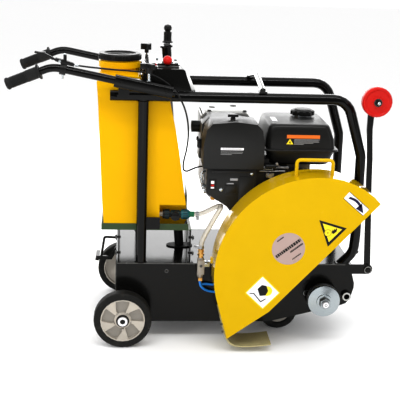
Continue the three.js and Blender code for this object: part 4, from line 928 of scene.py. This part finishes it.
def make_deck_details():
    with new_piece("cable_hook", "black_paint", "frame", 60) as bm:
        add_tube(bm, bent([(722, -161, 296), (742, -161, 284), (748, -161, 292)], 4, 6), 3.6, 10)
    tray_bolts = [((x, -128, z), out, 6.5, 4.5)
                  for x, out in ((217.2, FORWARD), (-21.2, BACKWARD)) for z in (270, 322)]
    bolts("tray_bolts", tray_bolts, "dark_zinc", "frame")
    # Thin lighter tubes along each side plate's top and rear edges: a painted highlight.
    for side, name in SIDES:
        y, top = side * 175.4, 250.6
        with new_piece("deck_edge_highlight_" + name, "painted_highlight_grey", "frame", 60) as bm:
            add_tube(bm, [(-22.5, y, top), (706, y, top)], 2, 8)
            add_tube(bm, [(-22.5, y, 132), (-22.5, y, top)], 1.8, 8)
    bolts("deck_bolts", [((x, -172, 252.2), UP, 5.5, 6) for x in (256, 271)], "zinc", "frame")


def make_guard_details():
    bolts("guard_rim_bolts", [((x, -296.2, z), RIGHT, 4, 2.6) for x, z in ((304, 97), (308, 73))],
          "dark_zinc", "guard", round_head=True)


def make_pointer_details():
    bolts("pointer_pivot_nut", [((POINTER_X, -184.2, POINTER_Z), RIGHT, 6, 2.5)], "black_paint", "pointer")
    turned("guide_axle_end", "zinc", "pointer", [(0, 0), (5, 0), (5, 4), (4, 5), (0, 5)],
           (GUIDE_X, -224.2, GUIDE_Z), RIGHT, 20)
    washers("guide_washer", [((GUIDE_X, -214.8, GUIDE_Z), RIGHT, 7, 12.5, 1.4)], "dark_zinc", "pointer")


# ---- engine
def make_control_box():
    face = CONTROL_FACE
    boxes("switch_bezel", "plastic", [(257, 283, face - 0.25, face, 495, 531)], 0.1, 1)
    rocker = face - 5.6
    label("switch_mark_red", 265, 275, rocker, 508, 513.5, 0.3, "red", "switch")
    label("switch_mark_top", 265, 275, rocker, 516, 525, 0.3, "decal_white", "switch")
    label("switch_mark_low", 265, 275, rocker, 501, 506, 0.3, "decal_white", "switch")
    bolts("engine_screws", [((x, -184.2, z), RIGHT, r, h)
                            for x, z, r, h in ((297, 497, 6, 4), (390, 470, 5, 3), (390, 548, 5, 3))],
          "zinc", "frame", round_head=True)
    plates = ((324, 348, 525.5, 533), (312, 316, 496, 518), (312, 336, 514, 518))
    boxes("engine_plate", "steel", [(x0, x1, face - 2, face, z0, z1) for x0, x1, z0, z1 in plates], 0.6, 1)
    boxes("control_box_ribs", "engine_shell", [
        (310, 346, face - 4, face, 486, 514), (268, 400, face - 3, face, 551, 558),
        (352, 398, face - 3, face, 454, 540)], 1.6, 2)


def make_engine_fittings():
    oil_fill = [(0, 0), (10, 0), (11, 3), (11, 12), (8, 14), (8, 24), (0, 24)]
    turned("oil_plug", "amber", "frame", oil_fill, (268, -160, 468), (1, 0, -0.12), 16)
    with new_piece("engine_fittings", "zinc", "frame") as bm:
        add_lathe(bm, rod(8, 5), (294, -162, 467), (1, 0, -0.12), 6)
        add_lathe(bm, rod(7, 5), (251, -150, 482), (-1, 0, -0.2), 6)
        add_lathe(bm, [(0, 0), (5, 0), (6, 4), (4, 14), (0, 14)], (252, -152, 498), (-1, -0.2, 0.1), 12)
        dipstick = [(252, -140, 545), (238, -146, 540), (238, -148, 512), (250, -146, 500)]
        add_tube(bm, bent(dipstick, 7, 6), 2.4, 10)
        add_tube(bm, bent([(262, -150, 552), (240, -158, 540), (246, -158, 520)], 6, 6), 1.5, 8)


def make_governor():
    with new_piece("governor_linkage", "steel", "frame") as bm:
        add_tube(bm, [(415, -176, 555), (455, -180, 556), (494, -176, 556)], 2.0, 10)
        add_tube(bm, [(404, -172, 566), (505, -172, 566)], 3.2, 10)
        add_box(bm, 436, 460, -180, -166, 536, 549)
        add_lathe(bm, rod(7, 8), (447, -180, 542), RIGHT, 12)
        add_lathe(bm, rod(4.5, 10), (467, -170, 579), RIGHT, 6)
        add_tube(bm, bent([(467, -176, 579), (480, -176, 566), (502, -176, 571)], 6, 5), 1.3, 8)
    with new_piece("governor_spring", "zinc", "frame", 80) as bm:
        turns = [0.75 * k for k in range(60)]
        coil = [(424 + 0.55 * k, -178 + 3 * math.cos(a), 562 + 3 * math.sin(a)) for k, a in enumerate(turns)]
        add_tube(bm, coil, 0.7, 6)
    boxes("carburettor", "plastic", [
        (404, 445, -168, -112, 548, 592), (436, 470, -166, -130, 552, 566),
        (480, 508, -166, -120, 548, 565)], 3, 2)


def make_recoil_details():
    # Dark bars on the recoil cover in place of its slots: painted shade.
    with new_piece("recoil_slot_shade", "painted_hole_shade", "frame") as bm:
        for a, x, z in around(18, 80, RECOIL_X, RECOIL_Z):
            add_box(bm, x - 12, x + 12, -180.4, -177.6, z - 2.4, z + 2.4, Matrix.Rotation(-a, 3, "Y"))
    heads = [((RECOIL_X + 108 * math.cos(a), -168.2, RECOIL_Z + 108 * math.sin(a)), RIGHT, 5.5, 4)
             for a in (0.5, 1.9, 3.4, 4.9)]
    bolts("recoil_bolts", heads, "dark_zinc", "frame")


def fuel_face(z):
    """The y of the fuel tank's outer face at a height above its seam."""
    return -160 + (z - 622.5) * 0.061 if z < 652 else -158.2 + (z - 652) * 0.15


def fuel_patch(name, outline, thick, material, off=0.0):
    """A sticker on the fuel tank's leaning outer face, from its XZ outline."""
    patch(name, [(x, fuel_face(z) - off, z) for x, z in outline], thick, material, "frame")


def make_fuel_labels():
    band = ((497, 655.4), (600, 655.4), (600, 665.9), (497, 665.9))
    fuel_patch("fuel_label_band", band, 0.35, "decal_orange")
    for k, width in enumerate((80, 76, 78, 60, 30)):
        z = 652 - 3.6 * k
        row = ((520, z - 0.7), (520 + width, z - 0.7), (520 + width, z + 0.7), (520, z + 0.7))
        fuel_patch(f"fuel_label_line_{k}", row, 0.3, "decal_line")
    fuel_patch("fuel_label_sign", ((496, 637), (518, 637), (507, 654)), 0.35, "decal_yellow")
    fuel_patch("fuel_label_dot", ((504.5, 640), (509.5, 640), (507, 649)), 0.2, "decal_black", 0.4)


def make_air_labels():
    label("air_label", 290, 360, AIR_FACE, 625, 632, 0.3, "decal_white")
    label("air_label_word", 296, 354, AIR_FACE - 0.4, 627.4, 629.6, 0.15, "decal_line")
    for k, width in enumerate((68, 66, 34)):
        z = 619 - 4 * k
        label(f"air_label_line_{k}", 290, 290 + width, AIR_FACE, z, z + 1, 0.2, "decal_line")
    top = 697.2
    patch("tank_top_label", [(459, -100, top), (475, -100, top), (475, -35, top), (459, -35, top)], 0.3,
          "decal_white", "frame")


def make_muffler_details():
    # Dark discs and bars on the muffler in place of its holes and slots: painted shade.
    for k, (x, y) in enumerate(((285, 93), (358, 122))):
        turned(f"muffler_hole_shade_{k}", "painted_hole_shade", "frame", rod(11, 0.8), (x, y, MUFFLER_TOP), UP, 24)
    with new_piece("muffler_slot_shade", "painted_hole_shade", "frame") as bm:
        for k in range(7):
            add_box(bm, 262 + 20 * k, 272 + 20 * k, 131.6, 132.8, 600, 676)
    on_top = [((x, 20, MUFFLER_TOP), UP, 5.5, 4) for x in (270, 385)]
    on_side = [((x, 132.2, 690), LEFT, 5, 3.5) for x in (270, 385)]
    bolts("muffler_bolts", on_top + on_side, "dark_zinc", "frame")


def make_filler_details():
    boxes("air_latch", "plastic", [(226, 241, -96, -78, 606, 634), (223, 230, -92, -82, 628, 642)], 2.5, 2)
    with new_piece("filler_ring", "zinc", "frame") as bm:
        add_ring(bm, [(26, 0), (30, 0), (30, 3), (26, 3)], (FILLER_X, 0, 697.4), UP, 32)
    with new_piece("fuel_cap_lobes", "plastic", "cap") as bm:
        lobe = [(0, 0), (6, 0), (6.5, 3), (6, 12), (0, 13.5)]
        for _, x, y in around(12, 33, FILLER_X, 0):
            add_lathe(bm, lobe, (x, y, 701.8), UP, 12)


# ---- water
def make_hose_clamps():
    washers("hose_clamps", [((227, VALVE_Y, VALVE_Z), (1, 0, 0.05), 7.6, 9.4, 8),
                            ((TAP_X, TAP_Y, 309.5), UP, 7.6, 9.4, 8)], "steel", "frame")
    with new_piece("clamp_screws", "steel", "frame") as bm:
        add_box(bm, 228, 236, -133, -128, 393, 401)
        add_lathe(bm, rod(4, 10), (232, -131, 392), (0, 0, -1), 10)
        add_box(bm, 226, 233, -200, -192, 309, 318)
        add_lathe(bm, rod(4, 11), (229, TAP_Y, 314), (-1, 0, 0.3), 10)


def make_water_details():
    make_hose_clamps()
    with new_piece("tap_collars", "brass", "frame") as bm:
        for z in (299, 303):
            add_lathe(bm, rod(9.6, 2.2), (TAP_X, TAP_Y, z), UP, 20)
        add_lathe(bm, rod(10.5, 7), (TAP_X, TAP_Y, 286), UP, 6)
    with new_piece("valve_ribs", "teal_dark", "frame") as bm:
        for k in range(16):
            a = ROUND * k / 16
            turn = Matrix.Rotation(a, 3, "X")
            for x, r in ((128, 14.6), (186, 15.6)):
                y, z = VALVE_Y + r * math.cos(a), VALVE_Z + r * math.sin(a)
                add_box(bm, x, x + 14, y - 1.1, y + 1.1, z - 1.1, z + 1.1, turn)
    bolts("tap_lever_screw", [((TAP_X, -217.5, 258), RIGHT, 4.5, 2.5)], "dark_zinc", "tap", round_head=True)
    with new_piece("lid_ribs", "plastic", "lid") as bm:
        for a, x, y in around(48, 67, TANK_NECK_X, 0):
            add_box(bm, x - 1, x + 1, y - 1.2, y + 1.2, 869, 881, Matrix.Rotation(a, 3, "Z"))


# ---- wheels and shaft
def make_wheel_details(side, name):
    out, body = (0, side, 0), "rear_wheel_" + name
    washers("hub_" + name, [((0, side * 256.2, REAR_HUB_Z), out, 15.5, 20.5, 1.6)], "rubber", body)
    axle_end = (0, side * 263.2, REAR_HUB_Z)
    washers("axle_washer_" + name, [(axle_end, out, 8.2, 15, 1.2)], "decal_white", "frame")
    # A flat dark disc in place of the axle's end hole: painted shade.
    turned("axle_hole_shade_" + name, "painted_hole_shade", "frame", rod(8, 0.6), axle_end, out, 24)
    with new_piece("rim_webs_" + name, "cast_rim", body) as bm:
        for k in range(5):
            a = math.radians(90) + ROUND * k / 5 + math.pi / 5
            x, z = 45 * math.cos(a), REAR_HUB_Z + 45 * math.sin(a)
            add_box(bm, x - 17, x + 17, side * 250 - 3, side * 250 + 3, z - 2, z + 2,
                    Matrix.Rotation(-a, 3, "Y"))
        round_edges(bm, 1, 2)


def make_shaft_details():
    turned("shaft_end", "decal_white", "spindle", [(0, 0), (9, 0), (9, 1.4), (8, 2.2), (0, 2.2)],
           (SHAFT_X, -262, SHAFT_Z), RIGHT, 24)
    # A dark ring on the shaft end, in the same painted hole shade.
    with new_piece("shaft_end_ring", "painted_hole_shade", "spindle") as bm:
        add_ring(bm, [(3, 0), (4.2, 0), (4.2, 0.5), (3, 0.5)], (SHAFT_X, -264, SHAFT_Z), RIGHT, 24)
    cover_bolts = [((x, 177.2, z), LEFT, 6, 4) for x, z in ((415, 300), (560, 300), (485, 448))]
    bolts("belt_guard_bolts", cover_bolts, "dark_zinc", "frame")


# ---- controls on top
def make_panel_details():
    quadrant_y, quadrant_z = -106, 867
    with new_piece("throttle_bracket", "plastic", "frame") as bm:
        add_tube(bm, [(96, quadrant_y, quadrant_z), (160, quadrant_y, quadrant_z)], 3, 12)
        for x in (100, 150):
            add_box(bm, x, x + 6, -112, -100, 862, 868)
    bolts("throttle_nuts", [((160, quadrant_y, quadrant_z), FORWARD, 3.6, 3),
                            ((96, quadrant_y, quadrant_z), BACKWARD, 3.6, 3)], "zinc", "frame")
    small = [((x, y, PANEL_TOP), UP, 4, 2.4) for x, y in ((104, -92), (154, -92), (72, -120))]
    large = [((x, y, PANEL_TOP), UP, 5, 4) for x, y in ((100, 60), (158, 40), (158, -40))]
    bolts("panel_screws", small + large, "zinc", "frame", round_head=True)
    washers("screw_collar", [((131, 0, PANEL_TOP), UP, 13.2, 19, 2.5)], "zinc", "frame")


def make_handle_details():
    rib = [(16.2, 0), (17.1, 0.8), (17.1, 1.8), (16.2, 2.6)]
    back = Vector((-133, 0, -54.4)).normalized()
    for side, name in SIDES:
        root = Vector((-346, side * HANDLE_Y, 812))
        with new_piece("grip_ribs_" + name, "rubber", "handle_" + name) as bm:
            for k in range(11):
                add_ring(bm, rib, root - back * (16 + 4.4 * k), -back, 28)
    low = 831
    for side, name, high in ((-1, "right", 852.5), (1, "left", 861.5)):
        stud = [(3.6, 0), (7, 0), (7, 1.6), (4.2, 2), (4.2, high - low), (3.6, high - low)]
        turned("knob_stud_" + name, "zinc", "knob_" + name, stud, (69, side * HANDLE_Y, low), UP, 20)


def make_lever_details():
    bolts("lever_pivot", [((-190, -217.2, 884), RIGHT, 4, 2.4), ((-190, -192.8, 884), LEFT, 4, 2.4)],
          "zinc", "handle_right", round_head=True)
    with new_piece("lever_clamp_screw", "zinc", "handle_right") as bm:
        screw = [(0, 0), (5, 0), (5, 4), (3, 5), (3, 17), (0, 17)]
        add_lathe(bm, screw, (-181, -HANDLE_Y, 849), (-0.1, 0, -1), 12)
        add_tube(bm, [(-176, -HANDLE_Y, 899), (-176, -HANDLE_Y, 905)], 4, 12)
    washers("cable_ferrules", [((-147.5, -HANDLE_Y, 872.6), (1, 0, -0.13), 2.7, 4.2, 12)], "zinc",
            "handle_right")
    washers("cable_end_ferrule", [((258, -99, 549), FORWARD, 2.7, 4.2, 13)], "zinc", "frame")


def make_crank_details():
    axis = Vector((CRANK_X - SCREW_FOOT_X, 0, CRANK_Z - DECK_TOP)).normalized()
    nut = [(0, 0), (9, 0), (9, 4.5), (8, 6), (0, 6)]
    turned("crank_nut", "dark_zinc", "crank", nut, Vector((CRANK_X, 0, CRANK_Z)) + axis * 31, axis, 6)
    with new_piece("crank_grip_ribs", "plastic", "crank_knob") as bm:
        rib = [(11.8, 0), (13.2, 0.7), (13.2, 1.7), (11.8, 2.4)]
        for k in range(8):
            add_ring(bm, rib, (133, 80, 918 + 3.6 * k), UP, 24)


make_camera()
MATERIALS = {name: make_material(name, base, rough, **more) for name, (base, rough, more) in LOOKS.items()}
make_cords()
make_stage()
make_plain_nodes()
make_frame_nodes()
make_body_nodes()
make_fuel_tank()
make_direction_sticker()
make_triangle_sticker()
make_badge()
make_diamond_sticker()
make_frame_details()
make_deck_details()
make_guard_details()
make_pointer_details()
make_control_box()
make_engine_fittings()
make_governor()
make_recoil_details()
make_fuel_labels()
make_air_labels()
make_muffler_details()
make_filler_details()
make_water_details()
for side, name in SIDES:
    make_wheel_details(side, name)
make_shaft_details()
make_panel_details()
make_handle_details()
make_lever_details()
make_crank_details()
